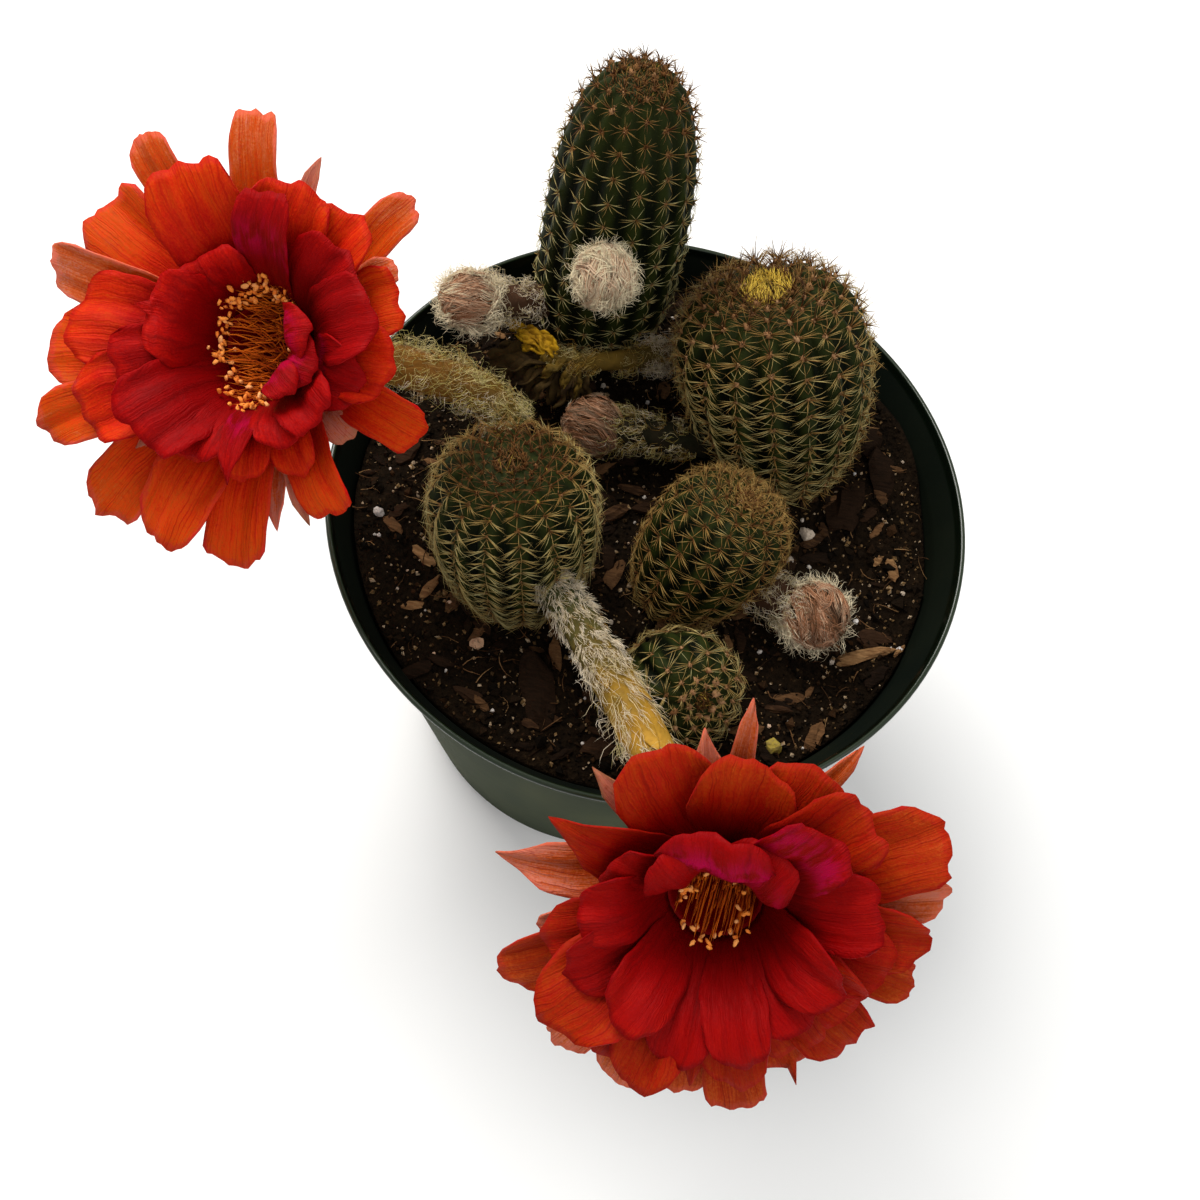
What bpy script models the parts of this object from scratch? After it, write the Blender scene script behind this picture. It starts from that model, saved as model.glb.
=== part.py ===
"""A potted peanut cactus: spiny stems in a nursery pot, with woolly buds, a spent flower and two open ones.

Lengths are in millimetres and are turned into metres where a mesh is made. The pot's foot stands on z = 0 and
its axis is x = y = 0. The tall column stands towards +Y, and the front flower hangs over the rim towards -Y.
"""
import math
import random
from dataclasses import dataclass

import bmesh
import bpy
from mathutils import Vector, noise

MM = 0.001
GAP = 0.3
UP = Vector((0, 0, 1))
GOLDEN_ANGLE = math.pi * (3 - math.sqrt(5))

# Nursery pot: a thin tapered wall with a stepped rim band
POT_SIDES = 36
POT_HEIGHT = 115.0
RIM_RADIUS = 76.0
FOOT_RADIUS = 59.0
POT_WALL = 1.1
FLOOR_THICKNESS = 1.3
BAND_FOOT_Z = 106.0
BAND_FOOT_RADIUS = 72.3
DRAIN_HOLES = 6
DRAIN_RADIUS = 4.5
DRAIN_CIRCLE = 44.0

# Soil: level under the stems, rough between them and heaped against the wall in places
SOIL_LEVEL = 102.7
SOIL_RINGS = (10.0, 20.0, 30.0, 40.0, 50.0, 61.0)
SOIL_ROUGHNESS = 1.6
# Heaps: centre x and y, height, spread
HEAPS = ((62.0, 46.0, 9.5, 20.0), (-68.0, -24.0, 3.5, 26.0), (-24.0, -68.0, 3.0, 24.0))
# Level ground reaches this far round each stem and gives way to the rough over this width
LEVEL_MARGIN = 3.0
LEVEL_FADE = 8.0
SOIL_EDGE_DEPTH = 2.0
# Each stem stands in a plain hole: the depth of its peg, and how much slimmer the peg is than the stem's foot
PEG_DEPTH = 10.0
PEG_INSET = 0.5
HOLE_SIDES = 18
SOCKET_SIDES = 16

# Bark chips on the soil: centre x and y, length, width, height, turn in degrees
CHIPS = (
    (55.0, -26.0, 19.0, 3.2, 2.2, 22),
    (-50.0, -24.0, 9.0, 3.0, 2.0, -25),
    (-46.0, -32.0, 7.0, 2.4, 1.8, 60),
    (-16.0, -52.0, 17.0, 7.0, 3.6, -70),
    (52.0, 35.0, 9.0, 7.0, 4.5, 15),
    (49.0, -46.0, 6.0, 3.0, 2.0, 80),
    (-8.0, -2.0, 9.0, 3.0, 2.2, 40),
)
# Perlite and grit: centre x and y, radius
GRAINS = (
    (40.0, 4.0, 2.2),
    (2.0, -4.0, 1.6),
    (38.0, -3.0, 1.4),
    (-30.0, -47.0, 1.7),
    (-63.0, -20.0, 1.8),
    (-22.0, -62.0, 2.0),
    (39.0, -52.0, 1.8),
    (63.0, 2.0, 1.5),
    (2.0, 64.0, 1.8),
    (-58.0, 20.0, 1.6),
)

# Ribs: the topmost ring as a share of the height, how much the rings crowd to the crown, the crown's dip, and
# the depth of the grooves at the foot and what they gain higher up, as shares of the radius
TOP_RING = 0.988
RING_CROWDING = 1.5
CROWN_DIP = 0.6
GROOVE_AT_FOOT = 0.03
GROOVE_GAIN = 0.09

# An octahedron: four corners round its waist, then its top and bottom. A grain's corners are a little uneven
OCTAHEDRON = ((0, 1, 4), (1, 2, 4), (2, 3, 4), (3, 0, 4), (1, 0, 5), (2, 1, 5), (3, 2, 5), (0, 3, 5))
GRAIN_WAYS = ((1, 0.2, 0), (-0.2, 1, 0), (-1, 0, 0.2), (0.1, -1, -0.1), (0, 0.1, 0.8), (0, 0, -0.9))

# Spines. They lean to one side of the rib or the other, and up or down it within a range
SPINE_BASE_RADIUS = 0.42
SPINE_SINK = 1.3
SPINE_LEAN = 0.75
SPINE_LEAN_UP = (-0.5, 0.6)
SPINE_LENGTHS = (0.85, 1.15)
CROWN_SPINES = 7
# The first areole of even and odd ribs, as a share of the spacing, and the height where the last one may be
FIRST_AREOLES = (0.85, 0.35)
RIB_STEPS = 200
RIB_TOP = 0.98

# Throat cup of an open flower, as radius and height above the throat's mouth
CUP_SIDES = 12
CUP_PROFILE = (
    (0.0, -18.0),
    (5.0, -18.0),
    (7.6, -11.0),
    (9.8, -4.0),
    (8.0, -4.0),
    (5.2, -11.0),
    (3.3, -15.2),
    (0.0, -15.2),
)
CUP_BOTTOM = 18.0
BLADE_HALF_THICKNESS = 0.55
BLADE_CUPPING = 0.16
BLADE_HANDLE = 0.34
# A blade's rows: share of its length, share of its full width, share of its full thickness
BLADE_ROWS = ((0.0, 0.26, 0.9), (0.42, 0.80, 1.0), (0.80, 0.94, 1.0), (1.0, 0.30, 0.6))
# Neighbouring petals of a ring tip up and down by this many degrees
STAGGER = 2.5
STAMENS = 11
STAMEN_BASE = (-14.9, -13.4)
STAMEN_BASE_RADIUS = 2.9
STAMEN_SPREAD = (2.0, 6.2)
THREAD_RADII = (0.5, 0.45)
ANTHER_RADIUS = 0.85
ANTHER_HALF_LENGTH = 1.1

FINISHES = {
    "pot_plastic": ((0.030, 0.060, 0.042), 0.42),
    "soil": ((0.055, 0.040, 0.030), 0.95),
    "stem_skin": ((0.075, 0.115, 0.050), 0.60),
    "bud_wool": ((0.62, 0.55, 0.47), 0.95),
    "tube_wool": ((0.42, 0.36, 0.16), 0.90),
    "withered": ((0.38, 0.27, 0.10), 0.90),
    "petal": ((0.80, 0.05, 0.015), 0.50),
    "stamen": ((0.85, 0.36, 0.08), 0.60),
}


@dataclass(frozen=True)
class Stem:
    """A ribbed stem. Its radius is measured to the rib crests, at the share of the height that widest gives."""

    name: str
    foot: tuple
    tip: tuple
    radius: float
    widest: float
    foot_radius: float
    squareness: float
    ribs: int
    rings: int
    areole_spacing: float
    spine_length: float
    seed: int


STEMS = {
    "column": Stem("stem_column", (-23, 50.5), (-20.5, 51, 186), 16.8, 0.30, 12, 2.8, 15, 8, 17.0, 4.0, 11),
    "barrel": Stem("stem_barrel", (31, 25.5), (15, 37, 149), 22.2, 0.55, 13, 3.0, 17, 8, 15.0, 4.2, 12),
    "left": Stem("stem_left", (-26.5, -24.5), (-31, -16.5, 141.5), 18.3, 0.55, 12, 2.8, 15, 7, 13.5, 3.8, 13),
    "right": Stem("stem_right", (11.5, -16.5), (21, -7, 132), 15.4, 0.50, 11, 2.4, 14, 7, 12.0, 3.6, 14),
    "small": Stem("stem_small", (11.5, -39.5), (20, -50, 117), 12.4, 0.60, 8, 2.2, 12, 6, 9.5, 3.2, 15),
}


@dataclass(frozen=True)
class Bud:
    """A woolly bud: a tube that leaves a stem's flank at root and ends in a ball centred on head."""

    name: str
    stem: str
    root: tuple
    head: tuple
    neck_radius: float
    head_radius: float
    seed: int


BUDS = (
    Bud("bud_back_left", "column", (-36.5, 42.5, 121), (-51.7, 31, 130), 4.2, 6.6, 21),
    Bud("bud_column", "column", (-22.0, 36.5, 143), (-20.7, 27.8, 152), 4.0, 6.2, 22),
    Bud("bud_middle", "barrel", (10.0, 18.0, 112.5), (-17.4, 15.6, 112.6), 4.4, 5.7, 23),
    Bud("bud_right", "right", (26.5, -16.5, 111), (42.5, -22.0, 113), 4.6, 7.0, 24),
)
BUD_SIDES = 8
BUD_TUFTS = 22
TUFT_LENGTH = 3.0
TUFT_BASE_RADIUS = 0.9
TUFT_SINK = 0.8
TUFT_DISORDER = 0.25
# A bud's root sits this deep in its socket, and its neck is bare for this far from the stem
ROOT_SINK = 2.5
NECK_BARE = 6.5
NECK_ROW = 4.0


@dataclass(frozen=True)
class Flower:
    """An open flower. centre is the middle of the throat's mouth, and facing is the way the flower looks."""

    name: str
    stem: str
    centre: tuple
    facing: tuple
    route: tuple
    route_radii: tuple
    petals: tuple


# A ring of petals: how far its tips rise over the flower's plane in degrees, the way a blade leaves the cup and
# the way its tip points in degrees, and where its root sits in the cup's wall as radius and height
RING_FORMS = {
    "sepal": (0, 28, -14, 6.3, -13.0),
    "outer": (4, 36, -12, 7.2, -10.4),
    "middle": (14, 50, 0, 8.0, -7.6),
    "inner": (30, 64, 16, 8.8, -5.2),
}
# Petals by ring: clock angle in degrees, reach from the flower's centre, width
LEFT_PETALS = (
    (
        "sepal",
        (
            (13, 37, 5),
            (42, 40, 7),
            (156, 36, 6),
            (171, 40, 7),
            (220, 40, 5),
            (322, 44, 9),
        ),
    ),
    (
        "outer",
        (
            (75, 34, 13),
            (108, 36, 11),
            (148, 36, 12),
            (186, 42, 10),
            (200, 43, 13),
            (217, 47, 12),
            (238, 46, 12),
            (261, 42, 15),
            (282, 42, 12),
            (300, 41, 16),
            (351, 42, 11),
        ),
    ),
    (
        "middle",
        (
            (13, 32, 13),
            (42, 32, 14),
            (64, 32, 11),
            (92, 30, 14),
            (150, 26, 9),
            (232, 34, 15),
            (270, 34, 17),
            (329, 34, 17),
        ),
    ),
    (
        "inner",
        (
            (2, 27, 11),
            (45, 29, 13),
            (80, 26, 12),
            (115, 28, 11),
            (178, 29, 8),
            (223, 28, 10),
            (250, 25, 12),
            (295, 24, 13),
        ),
    ),
)
FRONT_PETALS = (
    (
        "sepal",
        (
            (1, 38, 5),
            (32, 38, 5),
            (216, 41, 8),
            (251, 32, 6),
            (271, 41, 9),
            (311, 33, 6),
            (348, 32, 8),
        ),
    ),
    (
        "outer",
        (
            (57, 42, 13),
            (72, 40, 9),
            (86, 37, 11),
            (103, 37, 9),
            (163, 38, 9),
            (182, 38, 12),
            (200, 38, 10),
            (225, 40, 9),
            (240, 43, 10),
        ),
    ),
    (
        "middle",
        (
            (5, 30, 16),
            (29, 33, 15),
            (60, 38, 12),
            (100, 33, 13),
            (122, 32, 13),
            (144, 32, 12),
            (176, 32, 9),
            (198, 36, 11),
            (230, 35, 14),
            (296, 34, 12),
            (331, 33, 16),
        ),
    ),
    (
        "inner",
        (
            (0, 18, 14),
            (38, 28, 13),
            (72, 27, 12),
            (104, 25, 12),
            (140, 23, 10),
            (180, 22, 10),
            (225, 22, 10),
            (270, 22, 10),
            (312, 24, 11),
        ),
    ),
)
FLOWERS = (
    Flower(
        "flower_left",
        "left",
        (-80.5, -17, 165),
        (-0.08, -0.55, 0.83),
        (
            (-35.2, -1.4, 131.5),
            (-40.8, 2.4, 135.0),
            (-49.0, 3.0, 137.2),
            (-59.5, 2.0, 140.0),
            (-71.0, -0.5, 143.0),
        ),
        (4.6, 6.0, 6.3, 6.4, 6.2),
        LEFT_PETALS,
    ),
    Flower(
        "flower_front",
        "left",
        (25, -98, 145),
        (-0.1, -0.6, 0.79),
        (
            (-16.2, -33.2, 120.0),
            (-8.0, -42.5, 121.8),
            (0.4, -53.0, 123.8),
            (10.5, -66.0, 125.0),
            (20.5, -79.5, 126.6),
        ),
        (4.6, 5.8, 6.2, 6.4, 6.0),
        FRONT_PETALS,
    ),
)
TUBE_SIDES = 10
TUBE_SCALES = 18
SCALE_LENGTH = 3.6
SCALE_BASE_RADIUS = 1.5

# Spent flower: it leaves the barrel's flank and droops across the front of the column
SPENT_STEM = "barrel"
SPENT_ROUTE = (
    (6.0, 37.5, 116.0),
    (-2.5, 37.0, 118.5),
    (-12.0, 32.0, 120.0),
    (-22.0, 29.0, 119.0),
    (-31.0, 30.0, 116.5),
)
SPENT_RADII = (3.6, 4.4, 3.8, 3.5, 3.0)
SPENT_TUFTS = 10
LOBE_SHARES = (0.28, 0.42, 0.22)
# Its two dry lobes and its hanging rags: start, end, width
SPENT_LOBES = (
    ((-30.0, 31.0, 116.5), (-44.0, 37.5, 112.5), 4.4),
    ((-30.0, 29.5, 116.5), (-42.0, 31.0, 113.5), 4.0),
)
SPENT_RAGS = (
    ((-25.0, 28.0, 117.5), (-28.0, 21.5, 107.5), 5.0),
    ((-28.0, 28.0, 117.0), (-34.5, 22.5, 107.5), 4.6),
    ((-22.0, 27.5, 118.0), (-21.5, 22.5, 108.5), 4.4),
    ((-31.0, 29.0, 116.0), (-38.5, 27.5, 108.5), 4.0),
)


def clear_scene():
    """Removes every object of the open file."""
    for obj in list(bpy.data.objects):
        bpy.data.objects.remove(obj, do_unlink=True)


def finish_material(finish):
    """The material of that name, made on first use."""
    if finish in bpy.data.materials:
        return bpy.data.materials[finish]
    colour, roughness = FINISHES[finish]
    material = bpy.data.materials.new(finish)
    material.use_nodes = True
    shader = material.node_tree.nodes["Principled BSDF"]
    shader.inputs["Base Color"].default_value = (*colour, 1)
    shader.inputs["Roughness"].default_value = roughness
    shader.inputs["Metallic"].default_value = 0.0
    return material


def solid(name, points, faces, collection=None):
    """An object from points in millimetres and faces, with its faces turned outwards."""
    mesh = bpy.data.meshes.new(name)
    mesh.from_pydata([Vector(p) * MM for p in points], [], faces)
    form = bmesh.new()
    form.from_mesh(mesh)
    bmesh.ops.recalc_face_normals(form, faces=form.faces)
    form.to_mesh(mesh)
    form.free()
    obj = bpy.data.objects.new(name, mesh)
    (collection or bpy.context.scene.collection).objects.link(obj)
    return obj


def dress(obj, finish):
    """Gives the object its material and shades its round faces smooth."""
    obj.data.materials.clear()
    obj.data.materials.append(finish_material(finish))
    obj.data.shade_smooth()
    obj.data.set_sharp_from_angle(angle=math.radians(35))


def combine(target, collection, operation, solver="EXACT"):
    """Joins the collection's objects to the target or cuts them from it, applies that, and removes them."""
    modifier = target.modifiers.new("combine", "BOOLEAN")
    modifier.operation = operation
    modifier.operand_type = "COLLECTION"
    modifier.collection = collection
    modifier.solver = solver
    result = bpy.data.meshes.new_from_object(target.evaluated_get(bpy.context.evaluated_depsgraph_get()))
    target.modifiers.clear()
    target.data = result
    for obj in list(collection.objects):
        bpy.data.objects.remove(obj, do_unlink=True)
    bpy.data.collections.remove(collection)


def new_collection(name):
    """A new collection in the scene, for the repeats that are joined to a body."""
    collection = bpy.data.collections.new(name)
    bpy.context.scene.collection.children.link(collection)
    return collection


def turned(profile, sides):
    """Points and faces of a (radius, z) profile turned about the Z axis, closed on the axis at both ends."""
    points, rings = [], []
    for radius, z in profile:
        if radius == 0:
            rings.append([len(points)] * sides)
            points.append((0, 0, z))
            continue
        rings.append(list(range(len(points), len(points) + sides)))
        for side in range(sides):
            angle = math.tau * side / sides
            points.append((radius * math.cos(angle), radius * math.sin(angle), z))
    return points, joined_rings(rings)


def joined_rings(rings):
    """Faces between neighbouring rings. A ring that repeats one index is a pole."""
    faces = []
    for low, high in zip(rings, rings[1:]):
        for side in range(len(low)):
            after = (side + 1) % len(low)
            corners = [low[side], low[after], high[after], high[side]]
            corners = [c for i, c in enumerate(corners) if c not in corners[:i]]
            faces.append(corners)
    return faces


def smooth_route(points, steps):
    """A smooth curve through the points, with that many steps between neighbours."""
    knots = [Vector(p) for p in points]
    knots = [2 * knots[0] - knots[1], *knots, 2 * knots[-1] - knots[-2]]
    route = []
    for a, b, c, d in zip(knots, knots[1:], knots[2:], knots[3:]):
        for step in range(steps):
            t = step / steps
            square, cube = 2 * a - 5 * b + 4 * c - d, 3 * b - a - 3 * c + d
            route.append(0.5 * (2 * b + (c - a) * t + square * t**2 + cube * t**3))
    route.append(knots[-2])
    return route


def swept(centres, radii, sides, start=None, end=None):
    """Points and faces of a round tube through the centres, with flat ends square to start and end."""
    points, rings = [], []
    side_way = None
    for i, centre in enumerate(centres):
        before, after = centres[max(i - 1, 0)], centres[min(i + 1, len(centres) - 1)]
        along = (after - before).normalized()
        if i == 0 and start:
            along = start
        if i == len(centres) - 1 and end:
            along = end
        side_way = side_way or along.orthogonal()
        side_way = (side_way - along * side_way.dot(along)).normalized()
        across = along.cross(side_way)
        rings.append(list(range(len(points), len(points) + sides)))
        for side in range(sides):
            angle = math.tau * side / sides
            points.append(centre + radii[i] * (math.cos(angle) * side_way + math.sin(angle) * across))
    faces = joined_rings(rings)
    faces.append(rings[0][::-1])
    faces.append(rings[-1])
    return points, faces


def spike(collection, base, way, length, base_radius, sink):
    """A three-sided needle or tuft whose root is sunk into what it grows from."""
    way = way.normalized()
    side_way = way.orthogonal().normalized()
    across = way.cross(side_way)
    root = base - way * sink
    angles = [math.tau * corner / 3 for corner in range(3)]
    corners = [root + base_radius * (math.cos(a) * side_way + math.sin(a) * across) for a in angles]
    solid("spike", [*corners, base + way * length], [(0, 1, 2), (0, 1, 3), (1, 2, 3), (2, 0, 3)], collection)


def cylinder(collection, centre, way, radius, below, above, sides):
    """A cutter: a cylinder along way whose flats, not its corners, lie at the radius."""
    way = way.normalized()
    corner_radius = radius / math.cos(math.pi / sides)
    ends = [centre - way * below, centre + way * above]
    points, faces = swept(ends, [corner_radius] * 2, sides, way, way)
    obj = solid("cutter", points, faces, collection)
    obj.hide_render = True
    obj.display_type = "WIRE"


def stem_axis(stem, t):
    """Centre of the stem at a share t of its height, with the two ways across it and the way along it."""
    foot = Vector((*stem.foot, SOIL_LEVEL + GAP))
    run = Vector(stem.tip) - foot
    turn = t * t * (3 - 2 * t)
    along = UP.lerp(run.normalized(), turn).normalized()
    side_way = (Vector((1, 0, 0)) - along * along.x).normalized()
    return foot + run * t, side_way, along.cross(side_way), along


def stem_radius(stem, t):
    """Radius to the rib crests at a share t of the height: a narrow foot, a long flank and a rounded crown."""
    if t < stem.widest:
        share = (stem.widest - t) / stem.widest
        return stem.radius + (stem.foot_radius - stem.radius) * share**2
    share = min((t - stem.widest) / (1 - stem.widest), 1.0)
    return stem.radius * (1 - share**stem.squareness) ** (1 / stem.squareness)


def stem_point(stem, t, angle, ratio=1.0):
    """A point at an angle round the stem, at a ratio of the radius there."""
    centre, side_way, across, _ = stem_axis(stem, t)
    return centre + ratio * stem_radius(stem, t) * (math.cos(angle) * side_way + math.sin(angle) * across)


def stem_clearance(stem, point):
    """Rough distance from a point to the stem's skin, negative inside it."""
    foot = Vector((*stem.foot, SOIL_LEVEL + GAP))
    run = Vector(stem.tip) - foot
    t = max(0.0, min((point - foot).dot(run) / run.length_squared, 0.97))
    return (point - foot - run * t).length - stem_radius(stem, t)


def ribbed_body(stem):
    """The stem's body: two points to each rib, a smooth peg in the soil, and a flat crown with a small dip."""
    sides = 2 * stem.ribs
    points, rings = [], []
    peg_radius = stem.foot_radius - PEG_INSET
    for z in (SOIL_LEVEL - PEG_DEPTH, SOIL_LEVEL - GAP):
        rings.append(list(range(len(points), len(points) + sides)))
        for side in range(sides):
            angle = math.tau * side / sides
            out = Vector((math.cos(angle), math.sin(angle), 0))
            points.append(Vector((*stem.foot, z)) + peg_radius * out)
    for ring in range(stem.rings):
        t = TOP_RING * (1 - (1 - ring / (stem.rings - 1)) ** RING_CROWDING)
        groove = GROOVE_AT_FOOT + GROOVE_GAIN * math.sin(math.pi / 2 * min(1.25 * t + 0.1, 1.0))
        rings.append(list(range(len(points), len(points) + sides)))
        for side in range(sides):
            points.append(stem_point(stem, t, math.tau * side / sides, 1 - groove * (side % 2)))
    rings.append([len(points)] * sides)
    points.append(Vector(stem.tip) - CROWN_DIP * stem_axis(stem, 1.0)[3])
    faces = joined_rings(rings)
    faces.append(rings[0][::-1])
    return points, faces


def areoles(stem):
    """Places on the rib crests, evenly spaced up each rib, with the ways out, up the rib and sideways."""
    for rib in range(stem.ribs):
        angle = math.tau * rib / stem.ribs
        next_at = stem.areole_spacing * FIRST_AREOLES[rib % 2]
        travelled, before = 0.0, stem_point(stem, 0.0, angle)
        for step in range(1, RIB_STEPS):
            t = RIB_TOP * step / RIB_STEPS
            here = stem_point(stem, t, angle)
            travelled += (here - before).length
            if travelled >= next_at:
                next_at += stem.areole_spacing
                up_rib = (here - before).normalized()
                centre, _, _, along = stem_axis(stem, t)
                sideways = along.cross(here - centre).normalized()
                yield here, up_rib.cross(sideways).normalized(), up_rib, sideways
            before = here


def soil_height(x, y):
    """Height of the soil. It is level beside each stem and rises to its heaps."""
    apart = min(math.hypot(x - stem.foot[0], y - stem.foot[1]) - stem.radius for stem in STEMS.values())
    free = max(0.0, min((apart - LEVEL_MARGIN) / LEVEL_FADE, 1.0))
    heap = 0.0
    for heap_x, heap_y, height, spread in HEAPS:
        heap += height * math.exp(-((math.hypot(x - heap_x, y - heap_y) / spread) ** 2))
    rough = SOIL_ROUGHNESS * noise.noise(Vector((x * 0.09, y * 0.09, 3.0)))
    return SOIL_LEVEL + free * (heap + rough) - (1 - free) * 0.2


def keep_outs():
    """Balls that spines stay out of: along every bud, flower tube and the spent flower."""
    balls = []
    for bud in BUDS:
        root, head = Vector(bud.root), Vector(bud.head)
        for step in range(6):
            share = step / 5
            radius = bud.neck_radius + share * (bud.head_radius - bud.neck_radius)
            balls.append((root.lerp(head, share), radius + TUFT_LENGTH))
    for flower in FLOWERS:
        for point in smooth_route(flower.route, 4):
            balls.append((point, max(flower.route_radii) + 3.2))
    for point in smooth_route(SPENT_ROUTE, 4):
        balls.append((point, max(SPENT_RADII) + 2.0))
    return balls


def spine_is_clear(stem, root, tip, balls):
    """Whether a spine stays over the soil, out of the keep-outs and on its own stem's side of each gap."""
    if tip.z < soil_height(tip.x, tip.y) + 1.2 or root.z < SOIL_LEVEL + 1.0:
        return False
    if tip.z < POT_HEIGHT + 1.0 and math.hypot(tip.x, tip.y) > pot_inner_radius(tip.z) - 1.0:
        return False
    if any((tip - centre).length < radius or (root - centre).length < radius for centre, radius in balls):
        return False
    own = stem_clearance(stem, tip)
    return all(stem_clearance(other, tip) > own + 0.8 for other in STEMS.values() if other is not stem)


def attachments(key):
    """Root point, next point and radius of each bud, tube and spent flower that grows from a stem."""
    for bud in BUDS:
        if bud.stem == key:
            yield Vector(bud.root), Vector(bud.head), bud.neck_radius
    for flower in FLOWERS:
        if flower.stem == key:
            yield Vector(flower.route[0]), Vector(flower.route[1]), flower.route_radii[0]
    if key == SPENT_STEM:
        yield Vector(SPENT_ROUTE[0]), Vector(SPENT_ROUTE[1]), SPENT_RADII[0]


def make_stem(key, stem, balls):
    """A ribbed stem with plain sockets for what grows from it, and spines on its rib crests and crown."""
    body = solid(stem.name, *ribbed_body(stem))
    sockets = new_collection("sockets")
    for root, onward, radius in attachments(key):
        cylinder(sockets, root, onward - root, radius + GAP, ROOT_SINK + GAP, 12.0, SOCKET_SIDES)
    if sockets.objects:
        combine(body, sockets, "DIFFERENCE")
    else:
        bpy.data.collections.remove(sockets)
    spines = new_collection("spines")
    draw = random.Random(stem.seed)
    for here, out, up_rib, sideways in areoles(stem):
        lean = SPINE_LEAN * draw.choice((-1, 1))
        way = (out + lean * sideways + draw.uniform(*SPINE_LEAN_UP) * up_rib).normalized()
        length = stem.spine_length * draw.uniform(*SPINE_LENGTHS)
        if spine_is_clear(stem, here, here + way * length, balls):
            spike(spines, here, way, length, SPINE_BASE_RADIUS, SPINE_SINK)
    for turn in range(CROWN_SPINES):
        angle = math.tau * turn / CROWN_SPINES
        here = stem_point(stem, 0.99, angle, 0.75)
        centre, _, _, along = stem_axis(stem, 1.0)
        way = (along + (here - centre).normalized() / 2).normalized()
        if spine_is_clear(stem, here, here + way * stem.spine_length, balls):
            spike(spines, here, way, stem.spine_length, SPINE_BASE_RADIUS, 2 * SPINE_SINK)
    combine(body, spines, "UNION", "MANIFOLD")
    dress(body, "stem_skin")


def make_pot():
    """The pot's wall, floor and stepped rim as one turned solid, with drain holes through its floor."""
    inner_band_radius = BAND_FOOT_RADIUS - POT_WALL
    profile = (
        (0.0, 0.0),
        (FOOT_RADIUS - 1.2, 0.0),
        (FOOT_RADIUS, 1.0),
        (BAND_FOOT_RADIUS, BAND_FOOT_Z),
        (RIM_RADIUS - 1.6, BAND_FOOT_Z + 2.0),
        (RIM_RADIUS - 0.7, POT_HEIGHT - 2.2),
        (RIM_RADIUS, POT_HEIGHT - 1.4),
        (RIM_RADIUS, POT_HEIGHT - 0.4),
        (RIM_RADIUS - 0.5, POT_HEIGHT),
        (RIM_RADIUS - 2.2, POT_HEIGHT),
        (RIM_RADIUS - 2.9, POT_HEIGHT - 1.4),
        (inner_band_radius, BAND_FOOT_Z),
        (pot_inner_radius(FLOOR_THICKNESS), FLOOR_THICKNESS),
        (0.0, FLOOR_THICKNESS),
    )
    pot = solid("pot", *turned(profile, POT_SIDES))
    drains = new_collection("drains")
    for hole in range(DRAIN_HOLES):
        angle = math.tau * hole / DRAIN_HOLES
        centre = Vector((DRAIN_CIRCLE * math.cos(angle), DRAIN_CIRCLE * math.sin(angle), 0))
        cylinder(drains, centre, UP, DRAIN_RADIUS, 2.0, 4.0, 10)
    combine(pot, drains, "DIFFERENCE")
    dress(pot, "pot_plastic")


def pot_inner_radius(z):
    """Radius of the pot's bore at a height, up to the rim band."""
    return FOOT_RADIUS + (BAND_FOOT_RADIUS - FOOT_RADIUS) * z / BAND_FOOT_Z - POT_WALL


def make_soil():
    """The soil that fills the pot, with a plain hole for each stem and chips and grains fused to its top."""
    bottom = FLOOR_THICKNESS + GAP
    shoulder = SOIL_LEVEL - SOIL_EDGE_DEPTH
    foot_radius, edge_radius = [pot_inner_radius(z) - GAP - 0.05 for z in (bottom, shoulder)]
    profile = [(0.0, bottom), (foot_radius, bottom), (edge_radius, shoulder), (edge_radius, SOIL_LEVEL)]
    profile += [(radius, SOIL_LEVEL) for radius in reversed(SOIL_RINGS)] + [(0.0, SOIL_LEVEL)]
    points, faces = turned(profile, POT_SIDES)
    points = [(x, y, soil_height(x, y) if z == SOIL_LEVEL else z) for x, y, z in points]
    soil = solid("soil", points, faces)
    bits = new_collection("bits")
    for x, y, length, width, height, turn in CHIPS:
        chip(bits, x, y, length, width, height, math.radians(turn))
    for x, y, radius in GRAINS:
        grain(bits, x, y, radius)
    combine(soil, bits, "UNION", "MANIFOLD")
    holes = new_collection("holes")
    for stem in STEMS.values():
        centre = Vector((*stem.foot, SOIL_LEVEL))
        cylinder(holes, centre, UP, stem.foot_radius + GAP, PEG_DEPTH + GAP, 12.0, HOLE_SIDES)
    combine(soil, holes, "DIFFERENCE")
    dress(soil, "soil")


def chip(collection, x, y, length, width, height, turn):
    """A bark chip: a block with one end narrowed, half sunk in the soil."""
    along = Vector((math.cos(turn), math.sin(turn), 0))
    across = UP.cross(along)
    middle = Vector((x, y, soil_height(x, y) + 0.1 * height))
    points = []
    for end, share in ((-0.5, 1.0), (0.5, 0.6)):
        for side, level in ((-0.5, -0.5), (0.5, -0.5), (0.4, 0.5), (-0.4, 0.5)):
            points.append(middle + along * end * length + across * side * width * share + UP * level * height)
    faces = [(0, 1, 2, 3), (4, 5, 6, 7), (0, 1, 5, 4), (1, 2, 6, 5), (2, 3, 7, 6), (3, 0, 4, 7)]
    solid("chip", points, faces, collection)


def grain(collection, x, y, radius):
    """A grain of perlite or grit: an octahedron, half sunk in the soil."""
    middle = Vector((x, y, soil_height(x, y) + 0.2 * radius))
    solid("grain", [middle + Vector(way) * radius for way in GRAIN_WAYS], OCTAHEDRON, collection)


def even_ways(count):
    """Directions spread evenly over a ball."""
    for i in range(count):
        height = 1 - (2 * i + 1) / count
        angle = GOLDEN_ANGLE * i
        flat = math.sqrt(1 - height * height)
        yield Vector((flat * math.cos(angle), flat * math.sin(angle), height))


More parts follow.
